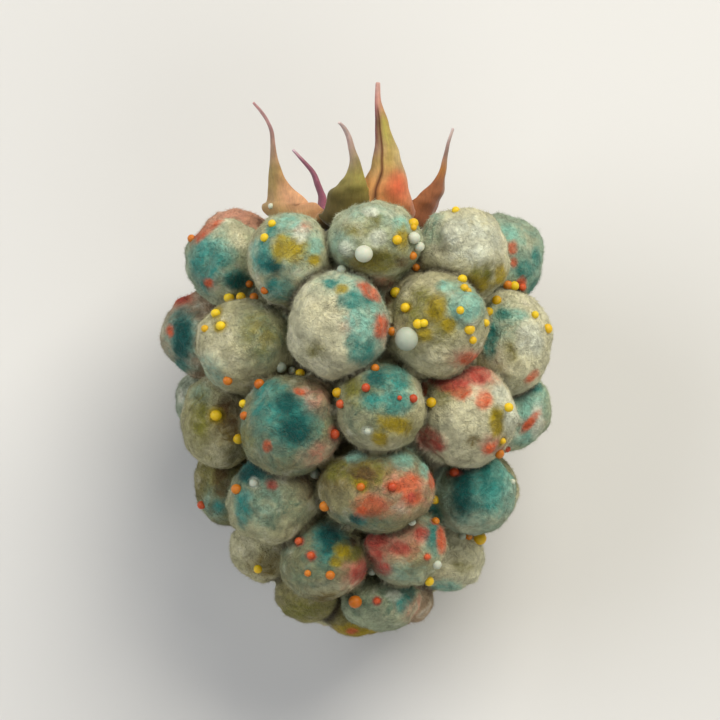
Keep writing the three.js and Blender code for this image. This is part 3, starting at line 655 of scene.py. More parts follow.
colour = blend_colour(1.0, colour, ramp(tufts, 0.34, 0.66, 0.76, 1.12), "MULTIPLY")
strand_tip = felt_parts.outputs["Green"]
colour = blend_colour(ramp(strand_tip, 0, 1, 0, 0.15), colour, linear("#d9d6bd"))
# Crinkles: thin folded lines, where a warped noise crosses its middle value. They are bump, and the dark
# olive along them is painted shade.
warped = add_node(tree, "ShaderNodeTexNoise", {"Vector": where, "Scale": per_metre(0.62), "Detail": 5.0,
                                               "Roughness": 0.6, "Distortion": 0.5})
off_middle = add_node(tree, "ShaderNodeMath", {0: warped.outputs["Fac"], 1: 0.5}, operation="SUBTRACT")
from_fold = add_node(tree, "ShaderNodeMath", {0: off_middle.outputs["Value"]}, operation="ABSOLUTE")
crinkles = ramp(from_fold.outputs["Value"], 0.0, 0.1, 0, 0.3)
in_fold = ramp(from_fold.outputs["Value"], 0.0, 0.03, 0.4, 0)
puckering = ramp(cloud_parts.outputs["Blue"], 0.44, 0.6, 0, 1)
# Painted shade: dark olive along the fold lines where the puckering noise is high
painted_fold_shade = add_node(tree, "ShaderNodeMath", {0: in_fold, 1: puckering}, operation="MULTIPLY")
colour = blend_colour(painted_fold_shade.outputs["Value"], colour, linear("#4a4428"))
# Painted shade: the skin turns dark brown deep in the creases and open gaps between drupelets, where shade
# falls
painted_crease_shade = ramp(felt_parts.outputs["Red"], 0.35, 1.0, 0, 0.96)
colour = blend_colour(painted_crease_shade, colour, linear("#26190b"))
tree.links.new(colour, shader.inputs["Base Color"])
fine_down = add_node(tree, "ShaderNodeMath", {0: threads.outputs["Fac"], 1: 0.5},
                     operation="MULTIPLY").outputs["Value"]
in_tufts = add_node(tree, "ShaderNodeMath", {0: tufts, 1: 1.1, 2: fine_down},
                    operation="MULTIPLY_ADD").outputs["Value"]
height_of_felt = add_node(tree, "ShaderNodeMath", {0: crinkles, 1: in_tufts},
                          operation="ADD").outputs["Value"]
bump = add_node(tree, "ShaderNodeBump", {"Strength": 1.0, "Distance": 0.00012, "Height": height_of_felt})
tree.links.new(bump.outputs["Normal"], shader.inputs["Normal"])
shader.inputs["Roughness"].default_value = 0.88
shader.inputs["Specular IOR Level"].default_value = 0.25
shader.inputs["Sheen Weight"].default_value = 0.12
shader.inputs["Sheen Roughness"].default_value = 0.45
shader.inputs["Sheen Tint"].default_value = linear("#f2efe2")
drupelets.data.materials.clear()
drupelets.data.materials.append(downy)

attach(drupelets, "root")
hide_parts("drupelets")

# Down
# Short strands that stand all over the skin and lie in whorls, as on felt. They are real slivers
# with three sides, split into four pieces because there are so many.
DOWN_PIECES = 4
DOWN_EACH = 38000
DOWN_LENGTH = (0.12, 0.32)
DOWN_WIDTH = 0.018
DOWN_FREE_OF = 0.55  # no strands where the skin lies deeper in a crease than this
DOWN_LIFT = 0.4  # 0 lies flat on the skin, 1 stands off it
WHORL = 1.8  # spacing of the whorls
WHORL_PULL = 2.2  # how far the strands follow them, against their scatter
SCATTER = 0.7

corner = skin_points[skin_triangles]
areas = np.linalg.norm(np.cross(corner[:, 1] - corner[:, 0], corner[:, 2] - corner[:, 0]), axis=1)
hidden = nook[skin_triangles].min(axis=1) > DOWN_FREE_OF
areas[hidden] = 0
chance = areas / areas.sum()
uv_side = math.ceil(math.sqrt(DOWN_EACH))
for piece in range(DOWN_PIECES):
    chosen = draw.choice(len(chance), size=DOWN_EACH, p=chance)
    first = draw.random(DOWN_EACH)
    other = draw.random(DOWN_EACH)
    fold = first + other > 1
    first[fold], other[fold] = 1 - first[fold], 1 - other[fold]
    shares = np.column_stack([1 - first - other, first, other])
    ends = skin_triangles[chosen]
    root = (skin_points[ends] * shares[..., None]).sum(axis=1)
    out = (normals[ends] * shares[..., None]).sum(axis=1)
    out /= np.linalg.norm(out, axis=1)[:, None]
    whorl = np.array([tuple(noise.noise_vector(Vector(p) / WHORL)) for p in root]) * WHORL_PULL
    lay = whorl + draw.normal(size=(DOWN_EACH, 3)) * SCATTER
    lay -= out * (lay * out).sum(axis=1)[:, None]
    lay /= np.linalg.norm(lay, axis=1)[:, None]
    lift = np.clip(draw.normal(DOWN_LIFT, 0.2, DOWN_EACH), 0.15, 1)[:, None]
    way = lay * np.sqrt(1 - lift ** 2) + out * lift
    length = draw.uniform(*DOWN_LENGTH, DOWN_EACH)[:, None]
    side = np.cross(way, out)
    side /= np.linalg.norm(side, axis=1)[:, None] + 1e-9
    above = np.cross(side, way)
    foot = root - out * 0.02
    half_width = DOWN_WIDTH / 2
    strands = np.stack([
        foot + side * half_width,
        foot - side * half_width,
        foot + above * DOWN_WIDTH * 0.8,
        root + way * length,
    ], axis=1).reshape(-1, 3)
    laid_height = strands @ to_world[2] + shift[2]
    strands += np.array(upward)[None] * np.maximum(-laid_height, 0)[:, None]
    base = (np.arange(DOWN_EACH) * 4)[:, None, None]
    faces = (base + np.array([[0, 1, 2], [0, 3, 1], [1, 3, 2], [2, 3, 0]])).reshape(-1, 3)
    mesh = bpy.data.meshes.new(f"down_{piece + 1}")
    mesh.from_pydata(strands.tolist(), [], faces.tolist())
    mesh.transform(LAID)
    data = {}
    # Each strand takes the skin's colours at its root, the painted crease shade included
    for name, values in felt_data.items():
        at_root = (values[ends] * shares[..., None]).sum(axis=1)
        data[name] = np.repeat(at_root, 4, axis=0)
    data["felt"][:, 1] = np.tile([0.0, 0.0, 0.0, 1.0], DOWN_EACH)
    store(mesh, data)
    # One small cell of the texture for each strand
    cell = 1 / uv_side
    corner_uv = np.array([[0.2, 0.2], [0.8, 0.2], [0.5, 0.8]]) * cell
    column = (np.arange(DOWN_EACH) % uv_side) * cell
    line = (np.arange(DOWN_EACH) // uv_side) * cell
    start = np.column_stack([column, line])
    texture = (start[:, None, None, :] + np.tile(corner_uv, (4, 1, 1))[None]).reshape(-1, 2)
    layer = mesh.uv_layers.new(name="OFBake")
    layer.data.foreach_set("uv", texture.ravel())
    down = bpy.data.objects.new(f"down_{piece + 1}", mesh)
    bpy.context.scene.collection.objects.link(down)
    down.data.materials.append(downy)
    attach(down, "root")
    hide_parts("drupelets")

# Beads
# Small round beads that stand on the drupelets, mostly along the creases. They are smooth and
# satin, in four colours, and each is sunk a third of its width into the down. Seen from the front:
# across, height, radius, and for a few how light they are, from 0 to 1.
BEAD_RISE = 0.35  # how far a bead's middle stands off the skin, as a share of its radius
BEADS = {
    "yellow": [
        (-8.12, 12.49, 0.34),
        (-5.36, 22.51, 0.25), (-4.96, 23.3, 0.23), (-7.39, 19.18, 0.31), (-6.71, 19.12, 0.28),
        (-8.12, 18.22, 0.28), (-8.72, 17.37, 0.23), (-7.84, 17.52, 0.28), (-3.36, 14.84, 0.28),
        (-1.21, 13.76, 0.31), (-6.54, 13.14, 0.25), (-6.88, 11.17, 0.31), (2.09, 22.39, 0.28),
        (2.96, 23.3, 0.31), (2.03, 19.43, 0.31), (2.57, 18.56, 0.28), (3.27, 17.66, 0.28),
        (3.61, 17.71, 0.25), (6.17, 17.37, 0.31), (6.35, 16.75, 0.23), (5.75, 20.14, 0.28),
        (5.87, 19.65, 0.25), (6.09, 19.49, 0.2), (4.06, 13.22, 0.31), (4.26, 7.76, 0.28),
        (5.42, 24.03, 0.23), (7.73, 18.95, 0.28), (7.28, 18.33, 0.28), (7.05, 17.71, 0.23),
        (8.35, 12.94, 0.28), (6.71, 5.53, 0.39), (5.67, 18.43, 0.23), (8.66, 19.8, 0.28),
        (9.85, 18.16, 0.23), (10.55, 17.37, 0.28), (8.01, 11.06, 0.2), (2.99, 23.07, 0.2),
        (-5.75, 3.84, 0.25), (3.86, 3.16, 0.28),
    ],
    "orange": [
        (-6.49, 12.47, 0.25), (-5.36, 19.57, 0.23), (-6.26, 19.91, 0.23),
        (-9.48, 22.45, 0.23), (-5.98, 19.12, 0.25), (-7.45, 14.5, 0.28), (-5.64, 14.22, 0.31),
        (2.93, 21.52, 0.25), (3.16, 20.84, 0.23), (1.81, 17.23, 0.25), (0.85, 15.12, 0.25),
        (8.35, 19.86, 0.28), (-6.94, 8.32, 0.31), (-1.95, 7.41, 0.31),
        (-1.69, 3.5, 0.28), (-0.26, 1.97, 0.39), (7.84, 10.38, 0.28),
        (4.25, 6.49, 0.23), (-2.93, 3.59, 0.2), (6.13, 5.67, 0.23), (0.06, 8.46, 0.25),
    ],
    "red": [
        (-1.07, 13.14, 0.25), (0.34, 14.05, 0.25), (2.97, 13.44, 0.25), (2.23, 13.48, 0.14),
        (-3.44, 5.39, 0.23), (-2.76, 4.6, 0.23), (0.96, 2.03, 0.2), (9.14, 19.74, 0.23),
        (5.35, 9.27, 0.28), (-1.47, 11.45, 0.28), (-8.91, 7.45, 0.25),
        (8.29, 10.66, 0.23), (3.78, 4.51, 0.17), (1.83, 8.46, 0.25),
    ],
    "white": [
        (0.23, 21.63, 0.5, 0.95), (2.69, 16.84, 0.65, 0.2),
        (-4.49, 15.23, 0.31), (-3.82, 15.01, 0.23), (-1.04, 20.65, 0.28), (-2.48, 9.25, 0.34),
        (-5.98, 8.66, 0.25), (-10.21, 11.62, 0.25), (0.45, 11.62, 0.2), (2.91, 6.52, 0.23),
        (4.3, 4.1, 0.28), (0.71, 3.74, 0.25), (5.75, 5.67, 0.23), (-4.85, 2.37, 0.23),
        # The pair of white beads high right of the middle are set lighter, as painted light on their shaded
        # side
        (8.57, 8.74, 0.17), (3.05, 22.5, 0.36, 0.8), (3.33, 22.06, 0.3, 0.8),
    ],
}
BEAD_COLOURS = {
    "yellow": ("#d6a40c", "#eac81c"),
    "orange": ("#bf6410", "#d07c1c"),
    "red": ("#b5401c", "#cb592a"),
    "white": ("#a3ad98", "#cdd2bc"),
}
BEAD_LEAN = 1.2  # how far a front bead stands towards the viewer, against the skin's own way out
BACK_BEADS = (2, 4)  # on each drupelet that the front view does not reach
BACK_BEADS_FROM = 1.5  # how far behind the axis such a drupelet's middle is
BACK_BEAD_PEAK = 0.35  # a back bead is left out where the viewer could see this far above the skin
TABLE_GAP = 0.0006  # in metres, no beads on skin nearer the table than this

back_beads = {name: [] for name in BEADS}
golden = math.pi * (3 - math.sqrt(5))
count = 0
for centre, half in zip(centres[:len(rows)], halves):
    if centre.y < BACK_BEADS_FROM:
        continue
    out = Vector((centre.x, centre.y, (centre.z - 14) * 0.5)).normalized()
    side = Vector((0, 0, 1)).cross(out).normalized()
    above = out.cross(side)
    for i in range(draw.integers(BACK_BEADS[0], BACK_BEADS[1] + 1)):
        turn = golden * count
        lean = draw.uniform(0.6, 1.15)
        count += 1
        way = out * math.cos(lean) + (side * math.cos(turn) + above * math.sin(turn)) * math.sin(lean)
        point, normal, _, _ = felt_tree.ray_cast(centre + way * 6, -way)
        peak = point + normal * BACK_BEAD_PEAK
        if (LAID @ point).z < TABLE_GAP or not felt_tree.ray_cast(peak, eye - peak)[0]:
            continue
        colour_name = draw.choice(["yellow", "orange", "red", "white"], p=[0.4, 0.25, 0.17, 0.18])
        back_beads[str(colour_name)].append((point, normal, draw.uniform(0.2, 0.3)))

for name, front_beads in BEADS.items():
    spots = []
    for across, height, radius, *lightness in front_beads:
        point, normal = seen(felt_tree, across, height)
        if point:
            way = (normal + (eye - point).normalized() * BEAD_LEAN).normalized()
            spots.append((point, way, radius, lightness[0] if lightness else draw.random()))
    spots += [(*spot, draw.random()) for spot in back_beads[name]]
    beads = bmesh.new()
    tint = beads.verts.layers.float_color.new("tint")
    for point, normal, radius, shade in spots:
        squash = draw.uniform(0.86, 1.0)
        turned = normal.to_track_quat("Z", "Y").to_matrix().to_4x4()
        shape = (Matrix.Translation(point + normal * radius * BEAD_RISE) @ turned
                 @ Matrix.Diagonal((radius, radius * draw.uniform(0.92, 1.04), radius * squash, 1)))
        sides = 3 if radius > 0.4 else 2
        made = bmesh.ops.create_icosphere(beads, subdivisions=sides, radius=1, matrix=shape)
        for vert in made["verts"]:
            vert[tint] = (shade, shade, shade, 1)
    piece = new_object(f"beads_{name}", beads)
    piece.data.shade_smooth()
    # Smooth wax: satin, with a little light through it, each bead a shade of its own
    wax = bpy.data.materials.new(f"satin_bead_{name}")
    wax.use_nodes = True
    tree = wax.node_tree
    shader = tree.nodes["Principled BSDF"]
    where = add_node(tree, "ShaderNodeTexCoord").outputs["Object"]
    shade_of = add_node(tree, "ShaderNodeAttribute", attribute_name="tint").outputs["Fac"]
    cloudy = add_node(tree, "ShaderNodeTexNoise", {"Vector": where, "Scale": per_metre(0.35), "Detail": 3.0})
    mixed = add_node(tree, "ShaderNodeMath", {0: cloudy.outputs["Fac"], 1: 0.6, 2: shade_of},
                     operation="MULTIPLY_ADD").outputs["Value"]
    dark, light = (linear(value) for value in BEAD_COLOURS[name])
    tree.links.new(blend_colour(ramp(mixed, 0.1, 1.3, 0, 1), dark, light), shader.inputs["Base Color"])
    grain = add_node(tree, "ShaderNodeTexNoise", {"Vector": where, "Scale": per_metre(0.12), "Detail": 2.0})
    bump = add_node(tree, "ShaderNodeBump", {"Strength": 0.35, "Distance": 0.00002,
                                             "Height": grain.outputs["Fac"]})
    tree.links.new(bump.outputs["Normal"], shader.inputs["Normal"])
    shader.inputs["Roughness"].default_value = 0.48
    shader.inputs["Specular IOR Level"].default_value = 0.4
    shader.inputs["Subsurface Weight"].default_value = 0.12
    shader.inputs["Subsurface Scale"].default_value = 0.0003
    piece.data.materials.append(wax)
    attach(piece, "root")
    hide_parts("drupelets")

# Calyx disc
# The shallow green-brown plate that carries the sepals, with the scar of the stalk in its middle. Its
# green-brown is darkened as painted shade, as it lies low between the drupelets' tops and the sepals.
DISC_PROFILE = [
    (0, 22.2), (4.4, 22.0), (4.9, 22.2), (4.5, 22.6), (2.2, 22.9), (1.15, 22.95), (1.0, 23.5),
    (0.7, 23.62), (0.45, 23.4), (0, 23.35),
]
# Painted shade: the plate's own colour, made darker as if in shadow
SHADED_DISC_COLOUR = "#5e5630"
SCAR_COLOUR = "#9a8052"  # the cut end of the stalk's core
SCAR_FROM = 23.2  # height at which the scar starts
disc = bmesh.new()
profile = [disc.verts.new((radius, 0, height)) for radius, height in DISC_PROFILE]
edges = [disc.edges.new(pair) for pair in zip(profile, profile[1:])]
bmesh.ops.spin(disc, geom=profile + edges, cent=(0, 0, 0), axis=(0, 0, 1), angle=math.tau, steps=40,
               use_merge=True)
bmesh.ops.remove_doubles(disc, verts=disc.verts, dist=1e-4)
bmesh.ops.subdivide_edges(disc, edges=disc.edges, cuts=2, use_grid_fill=True)
bmesh.ops.recalc_face_normals(disc, faces=disc.faces)
tone_layer = disc.verts.layers.float_color.new("tone")
blade_layer = disc.verts.layers.float_vector.new("blade")
for vert in disc.verts:
    wave = noise.noise(vert.co * 0.9) * 0.2 + noise.noise(vert.co * 2.6) * 0.1
    vert.co += Vector((vert.co.x, vert.co.y, 0)) * noise.noise(vert.co * 0.8) * 0.14
    vert.co += vert.normal * wave
    vert[tone_layer] = linear(SCAR_COLOUR if vert.co.z > SCAR_FROM else SHADED_DISC_COLOUR)
    vert[blade_layer] = vert.co
disc_piece = new_object("calyx_disc", disc)
disc_piece.data.shade_smooth()

# Leaf tissue: matt and fibrous, with a light down and fine ribs along the blade
leaf = bpy.data.materials.new("downy_leaf")
leaf.use_nodes = True
tree = leaf.node_tree
shader = tree.nodes["Principled BSDF"]
where = add_node(tree, "ShaderNodeTexCoord").outputs["Object"]
blade_tone = add_node(tree, "ShaderNodeAttribute", attribute_name="tone").outputs["Color"]
blade_uv = add_node(tree, "ShaderNodeAttribute", attribute_name="blade").outputs["Vector"]
ribs = add_node(tree, "ShaderNodeMapping", {"Vector": blade_uv, "Scale": (1.0, 0.16, 1.0)})
fibres = add_node(tree, "ShaderNodeTexNoise", {"Vector": ribs.outputs["Vector"], "Scale": 6.5, "Detail": 4.0,
                                               "Roughness": 0.6})
blotches = add_node(tree, "ShaderNodeTexNoise", {"Vector": where, "Scale": per_metre(0.9), "Detail": 5.0,
                                                 "Roughness": 0.65})
colour = blend_colour(1.0, blade_tone, ramp(fibres.outputs["Fac"], 0.3, 0.7, 0.9, 1.06), "MULTIPLY")
colour = blend_colour(1.0, colour, ramp(blotches.outputs["Fac"], 0.32, 0.68, 0.8, 1.15), "MULTIPLY")
tree.links.new(colour, shader.inputs["Base Color"])
grain = add_node(tree, "ShaderNodeMath", {0: fibres.outputs["Fac"], 1: 0.8, 2: blotches.outputs["Fac"]},
                 operation="MULTIPLY_ADD").outputs["Value"]
bump = add_node(tree, "ShaderNodeBump", {"Strength": 0.35, "Distance": 0.00004, "Height": grain})
tree.links.new(bump.outputs["Normal"], shader.inputs["Normal"])
shader.inputs["Roughness"].default_value = 0.75
shader.inputs["Specular IOR Level"].default_value = 0.3
shader.inputs["Sheen Weight"].default_value = 0.25
shader.inputs["Sheen Roughness"].default_value = 0.4
shader.inputs["Subsurface Weight"].default_value = 0.08
shader.inputs["Subsurface Scale"].default_value = 0.0004

disc_piece.data.materials.append(leaf)
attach(disc_piece, "root")
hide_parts("calyx")

# Sepals
# Five slim pointed blades that lie on the disc and then stand up, each with thin edges and a long tail.
# They are dry and leathery, ochre to olive, flushed coral and pink towards edges and tails.

# From the disc's middle to the tip: across, towards the front, height, width. The blade faces its
# root's bearing at first and twists to its turn. fold is how far its edges stand behind its rib,
# and crease is where a flank folds back. tones run along it as (share, left edge, middle, right edge).
SEPALS = {
    "left": {
        "root": -81, "turn": -45, "fold": 0.16, "crease": None,
        "route": [
            (-0.8, 0.12, 23.05, 2.0), (-2.3, 0.35, 22.95, 3.9), (-3.6, 0.55, 23.05, 4.3),
            (-4.3, 0.6, 23.6, 4.5), (-4.62, 0.58, 24.27, 4.0), (-4.62, 0.55, 24.65, 2.95),
            (-4.74, 0.5, 25.2, 1.95), (-4.84, 0.5, 25.8, 1.25), (-4.88, 0.5, 26.4, 0.82),
            (-4.9, 0.45, 27.0, 0.48), (-4.92, 0.42, 27.8, 0.26), (-4.98, 0.38, 28.5, 0.2),
            (-5.22, 0.3, 29.1, 0.17), (-5.58, 0.2, 29.65, 0.16), (-6.02, 0.1, 30.15, 0.1),
        ],
        "tones": [
            (0.0, "#7d7040", "#857645", "#8a7646"), (0.2, "#a08a58", "#a88a54", "#b58256"),
            (0.36, "#b89868", "#c8a06c", "#d8a67c"), (0.45, "#a38d57", "#b29358", "#c79368"),
            (0.57, "#a08c55", "#a88f58", "#ac8a58"), (0.66, "#b09080", "#a98c6c", "#a88468"),
            (0.8, "#bb9490", "#ad8880", "#a87e7c"), (1.0, "#cba4a0", "#c09490", "#bc908e"),
        ],
    },
    "back_left": {
        "root": -148, "turn": -92, "fold": 0.14, "crease": None,
        "route": [
            (-0.4, -0.7, 23.05, 2.0), (-1.15, -1.95, 22.95, 3.7), (-1.9, -3.2, 23.05, 3.9),
            (-2.3, -3.8, 23.6, 3.0), (-2.36, -4.05, 24.2, 2.0), (-2.3, -4.2, 24.75, 1.5),
            (-2.4, -4.4, 25.3, 1.15), (-2.57, -4.6, 25.9, 0.9), (-2.84, -4.8, 26.44, 0.66),
            (-3.29, -5.05, 27.0, 0.4), (-3.55, -5.25, 27.3, 0.28), (-3.84, -5.4, 27.65, 0.14),
        ],
        "tones": [
            (0.0, "#7d7040", "#857645", "#7d7040"), (0.22, "#8a6a4c", "#90684c", "#8a6a4c"),
            (0.36, "#96586a", "#8c4a5e", "#96586a"), (0.6, "#8f5464", "#824a5c", "#8f5464"),
            (0.8, "#8d5a68", "#825060", "#8d5a68"), (0.92, "#b08890", "#a87e88", "#b08890"),
            (1.0, "#dcc4cc", "#d4b8c2", "#dcc4cc"),
        ],
    },
    "front": {
        "root": -13, "turn": -12, "fold": 0.16, "crease": None,
        "route": [
            (-0.2, 0.8, 23.05, 1.9), (-0.5, 2.1, 22.95, 3.1), (-0.75, 3.2, 23.05, 3.3),
            (-0.72, 3.75, 23.55, 3.0), (-0.66, 4.0, 24.25, 2.75), (-0.69, 4.1, 24.77, 2.5),
            (-0.6, 4.2, 25.1, 2.05), (-0.48, 4.25, 25.42, 1.55), (-0.36, 4.35, 25.78, 1.1),
            (-0.29, 4.4, 26.3, 0.72), (-0.31, 4.5, 26.8, 0.46), (-0.45, 4.6, 27.35, 0.3),
            (-0.62, 4.7, 28.05, 0.22), (-0.9, 4.85, 28.6, 0.18), (-1.17, 5.0, 28.87, 0.1),
        ],
        "tones": [
            (0.0, "#6d6236", "#746a3a", "#786a3c"), (0.25, "#5e4f26", "#665a2a", "#75662f"),
            (0.38, "#5f5426", "#6b5f2c", "#8a7c3c"), (0.5, "#857a3e", "#8f8344", "#a2964c"),
            (0.6, "#97894c", "#9c8f4e", "#a5994f"), (0.72, "#b09a84", "#a3906c", "#a08f64"),
            (0.84, "#bf9f9a", "#b5988c", "#b0948a"), (1.0, "#e2d2cc", "#dcc8c2", "#dcc8c2"),
        ],
    },
    "front_right": {
        "root": 27, "turn": 24, "fold": 0.14, "crease": -0.5,
        "route": [
            (0.4, 0.75, 23.05, 1.9), (1.0, 2.0, 22.98, 3.3), (1.5, 3.0, 23.05, 3.7),
            (1.72, 3.5, 23.5, 3.6), (1.68, 3.8, 24.1, 3.4), (1.66, 3.9, 24.6, 3.15),
            (1.64, 4.0, 25.1, 2.85), (1.72, 4.05, 25.7, 2.4), (1.73, 4.1, 26.24, 1.98),
            (1.64, 4.1, 26.8, 1.6), (1.6, 4.1, 27.37, 1.36), (1.47, 4.1, 27.93, 1.02),
            (1.34, 4.1, 28.5, 0.8), (1.26, 4.05, 29.06, 0.66), (1.12, 4.0, 29.6, 0.44),
            (1.01, 3.95, 30.2, 0.24), (1.01, 3.9, 31.15, 0.16),
        ],
        "tones": [
            (0.0, "#7d7040", "#857645", "#8a7646"), (0.2, "#a8783e", "#b4703e", "#b8704a"),
            (0.33, "#dca25e", "#cc824e", "#cc8660"), (0.4, "#dca660", "#ce804e", "#cf8a64"),
            (0.46, "#d2a466", "#c88e5a", "#cc9a74"), (0.55, "#a88a50", "#b89c58", "#c8ae80"),
            (0.63, "#a07868", "#b8a05c", "#c4ae78"), (0.71, "#7a3a46", "#aaa050", "#b8a060"),
            (0.8, "#743442", "#a39848", "#a88c48"), (0.88, "#9a5a62", "#b58a68", "#b08458"),
            (0.94, "#b88078", "#c39080", "#c08a78"), (1.0, "#cfa59a", "#d0a89c", "#cfa59a"),
        ],
    },
    "right": {
        "root": 104, "turn": 62, "fold": 0.16, "crease": None,
        "route": [
            (0.8, -0.18, 23.05, 2.0), (2.1, -0.5, 22.95, 3.9), (3.3, -0.8, 23.05, 4.2),
            (3.85, -0.95, 23.65, 3.6), (4.1, -1.1, 24.28, 2.9), (4.28, -1.2, 24.65, 2.4),
            (4.5, -1.3, 25.2, 1.75), (4.66, -1.4, 25.8, 1.05), (4.76, -1.45, 26.34, 0.62),
            (4.82, -1.5, 26.9, 0.38), (4.92, -1.55, 27.47, 0.26), (5.04, -1.6, 28.03, 0.2),
            (5.28, -1.6, 28.77, 0.1),
        ],
        "tones": [
            (0.0, "#7d7040", "#857645", "#8a7646"), (0.22, "#854b2c", "#8c5432", "#8c5838"),
            (0.38, "#94582f", "#94593a", "#a06444"), (0.56, "#955a38", "#996444", "#a57850"),
            (0.68, "#a06c34", "#a87440", "#a8825c"), (0.8, "#98786c", "#8f766a", "#98806f"),
            (0.92, "#b09890", "#a8908a", "#b09890"), (1.0, "#e0cdc8", "#dcc8c2", "#dcc8c2"),
        ],
    },
}
BLUSH = {  # coral flush on a blade: share across, share along, size across, size along, colour
    "front_right": [(0.35, 0.4, 0.62, 0.12, "#de6a44")],
    "right": [(0.55, 0.34, 0.5, 0.12, "#a84e34")],
    "left": [(0.6, 0.36, 0.6, 0.14, "#dba47a")],
}
SEPAL_BEAD = ("left", -5.02, 24.3, 0.18)  # the one bead on the calyx: its sepal, across, height, radius
BLADE_THICKNESS = (0.26, 0.15)  # at the root and at the tip
ACROSS = 16
ALONG = 72


def curve_at(points_on_route, share):
    """A point on the smooth curve through a sepal's route."""
    station = share * (len(points_on_route) - 1)
    index = min(int(station), len(points_on_route) - 2)
    t = station - index
    p0 = points_on_route[max(index - 1, 0)]
    p1 = points_on_route[index]
    p2 = points_on_route[index + 1]
    p3 = points_on_route[min(index + 2, len(points_on_route) - 1)]
    return 0.5 * (2 * p1 + (p2 - p0) * t + (2 * p0 - 5 * p1 + 4 * p2 - p3) * t ** 2
                  + (3 * p1 - p0 - 3 * p2 + p3) * t ** 3)


def tone_at(tones, share, side):
    for low, high in zip(tones, tones[1:]):
        if share <= high[0]:
            break
    mix = (share - low[0]) / (high[0] - low[0])
    rows_of_colour = [np.array(linear(c)) for c in low[1:]], [np.array(linear(c)) for c in high[1:]]
    left, middle, right = (a * (1 - mix) + b * mix for a, b in zip(*rows_of_colour))
    edge = left if side < 0 else right
    return middle * (1 - abs(side)) + edge * abs(side)


for name, sepal in SEPALS.items():
    route = [Vector((x, -front, height)) for x, front, height, _ in sepal["route"]]
    widths = [Vector((width, 0, 0)) for _, _, _, width in sepal["route"]]
    length = sum((b - a).length for a, b in zip(route, route[1:]))
    blade = bmesh.new()
    bmesh.ops.create_grid(blade, x_segments=ACROSS, y_segments=ALONG, size=1)
    tone_layer = blade.verts.layers.float_color.new("tone")
    blade_layer = blade.verts.layers.float_vector.new("blade")
    weight_layer = blade.verts.layers.deform.verify()
    for vert in blade.verts:
        side = vert.co.x
        share = (vert.co.y + 1) / 2
        twisted = min(share / 0.2, 1)
        angle = math.radians(sepal["root"] + (sepal["turn"] - sepal["root"]) * twisted)
        across = Vector((math.cos(angle), math.sin(angle), 0))
        middle = curve_at(route, share)
        forward = (curve_at(route, min(share + 0.01, 1)) - curve_at(route, max(share - 0.01, 0))).normalized()
        outward = across.cross(forward).normalized()
        width = curve_at(widths, share).x
        wander = noise.noise(Vector((share * 9, len(name), side * 1.5))) * 0.06 * width
        behind = -sepal["fold"] * width * (abs(side) ** 1.3)
        behind -= 0.1 * width * max(abs(side) - 0.75, 0) / 0.25
        inward = 0.0
        if sepal["crease"] is not None and side < sepal["crease"]:
            past = (sepal["crease"] - side) * width * 0.5
            behind -= past * 0.75
            inward = past * 0.2
        vert.co = middle + across * (side * width * 0.5 + inward) + outward * (behind + wander)
        colour_here = tone_at(sepal["tones"], share, side)
        for spot_side, spot_share, wide, tall, flush in BLUSH.get(name, []):
            away = math.hypot((side - spot_side) / wide, (share - spot_share) / tall)
            amount = max(0.0, 1 - away) ** 0.7
            colour_here = colour_here * (1 - amount) + np.array(linear(flush)) * amount
        if sepal["crease"] is not None:
            line = max(0.0, 1 - abs(side - sepal["crease"]) / 0.12)
            amount = line * min(1, max(0, 0.92 - share) / 0.06)
            colour_here = colour_here * (1 - amount) + np.array(linear("#5c3018")) * amount
        vert[tone_layer] = tuple(colour_here)
        vert[blade_layer] = (side * width, share * length, 0)
        vert[weight_layer][0] = 1 - share
    bmesh.ops.recalc_face_normals(blade, faces=blade.faces)
    if name == SEPAL_BEAD[0]:
        bead_spot, _ = seen(BVHTree.FromBMesh(blade), *SEPAL_BEAD[1:3])
    piece = new_object(f"sepal_{name}", blade)
    thick = piece.modifiers.new("thickness", "SOLIDIFY")
    thick.thickness = BLADE_THICKNESS[0] * 0.001
    thick.vertex_group = piece.vertex_groups.new(name="thickness").name
    thick.thickness_vertex_group = BLADE_THICKNESS[1] / BLADE_THICKNESS[0]
    thick.offset = 0
    round_edge = piece.modifiers.new("soft edge", "SUBSURF")
    round_edge.levels = 1
    round_edge.render_levels = 1
    piece.data.shade_smooth()
    piece.data.materials.append(leaf)
    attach(piece, "root")
    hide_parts("calyx")

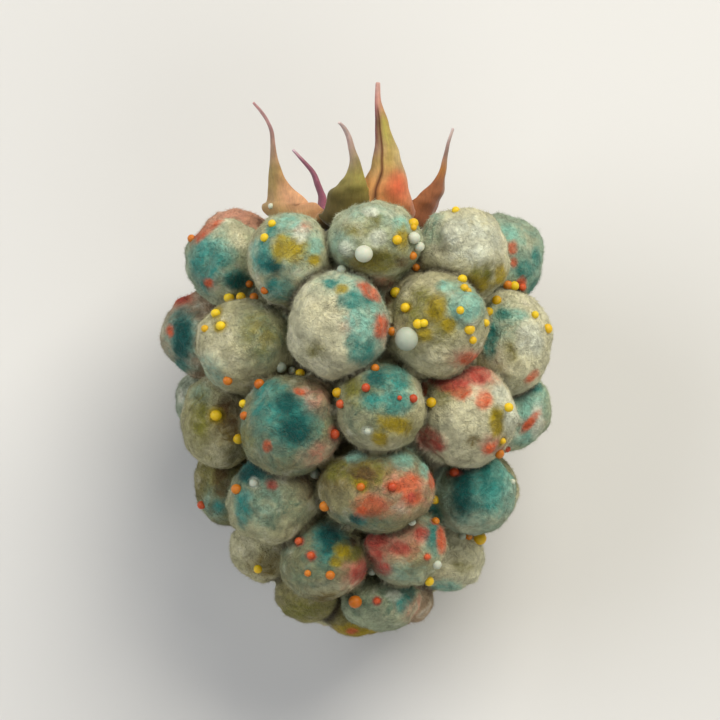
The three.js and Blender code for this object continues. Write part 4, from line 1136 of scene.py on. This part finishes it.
stood = Matrix.Translation(bead_spot + (eye - bead_spot).normalized() * 0.2)
bead = bmesh.new()
tint = bead.verts.layers.float_color.new("tint")
bmesh.ops.create_icosphere(bead, subdivisions=2, radius=SEPAL_BEAD[3], matrix=stood)
for vert in bead.verts:
    vert[tint] = (0.9, 0.9, 0.9, 1)
sepal_bead = new_object("bead_on_sepal", bead)
sepal_bead.data.shade_smooth()
sepal_bead.data.materials.append(bpy.data.materials["satin_bead_white"])
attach(sepal_bead, "root")
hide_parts("calyx")

# Surface, light and camera
# A plain pale table under soft studio light. The berry lies down, so the camera looks down on it.
floor_shape = bmesh.new()
bmesh.ops.create_grid(floor_shape, x_segments=1, y_segments=1, size=1.5)
floor = new_object("floor", floor_shape, None)
table_top = bpy.data.materials.new("matt_table_top")
table_top.use_nodes = True
top_shader = table_top.node_tree.nodes["Principled BSDF"]
top_shader.inputs["Base Color"].default_value = linear("#d9d8d4")
top_shader.inputs["Roughness"].default_value = 0.9
floor.data.materials.append(table_top)

# Each light: place in metres from the berry's middle, size, power in watts, colour
LIGHTS = {
    "key": ((0.15, 0.22, 0.3), 0.3, 1.81, "#fffaf0"),
    "fill": ((-0.3, 0.04, 0.24), 0.32, 0.86, "#f3f6ff"),
    "front": ((0.16, -0.28, 0.24), 0.3, 0.45, "#ffffff"),
}
aim = Vector((0, 0, 0.008))
for name, (spot, size, power, tint) in LIGHTS.items():
    lamp = bpy.data.lights.new(name, "AREA")
    lamp.size = size
    lamp.energy = power
    lamp.color = linear(tint)[:3]
    light = bpy.data.objects.new(name, lamp)
    light.location = spot
    light.rotation_euler = (aim - light.location).to_track_quat("-Z", "Y").to_euler()
    bpy.context.scene.collection.objects.link(light)
surround = bpy.data.worlds.new("studio")
surround.use_nodes = True
surround.node_tree.nodes["Background"].inputs["Color"].default_value = linear("#e4e7ea")
surround.node_tree.nodes["Background"].inputs["Strength"].default_value = 0.12
bpy.context.scene.world = surround
bpy.context.scene.view_settings.view_transform = "Standard"

LENS = 354.5
SENSOR = 36
camera_data = bpy.data.cameras.new("camera")
camera_data.lens = LENS
camera_data.sensor_width = SENSOR
camera_data.clip_start = 0.02
camera = bpy.data.objects.new("camera", camera_data)
camera.location = LAID @ eye
camera.rotation_euler = (TILT, 0, 0)
bpy.context.scene.collection.objects.link(camera)
bpy.context.scene.camera = camera
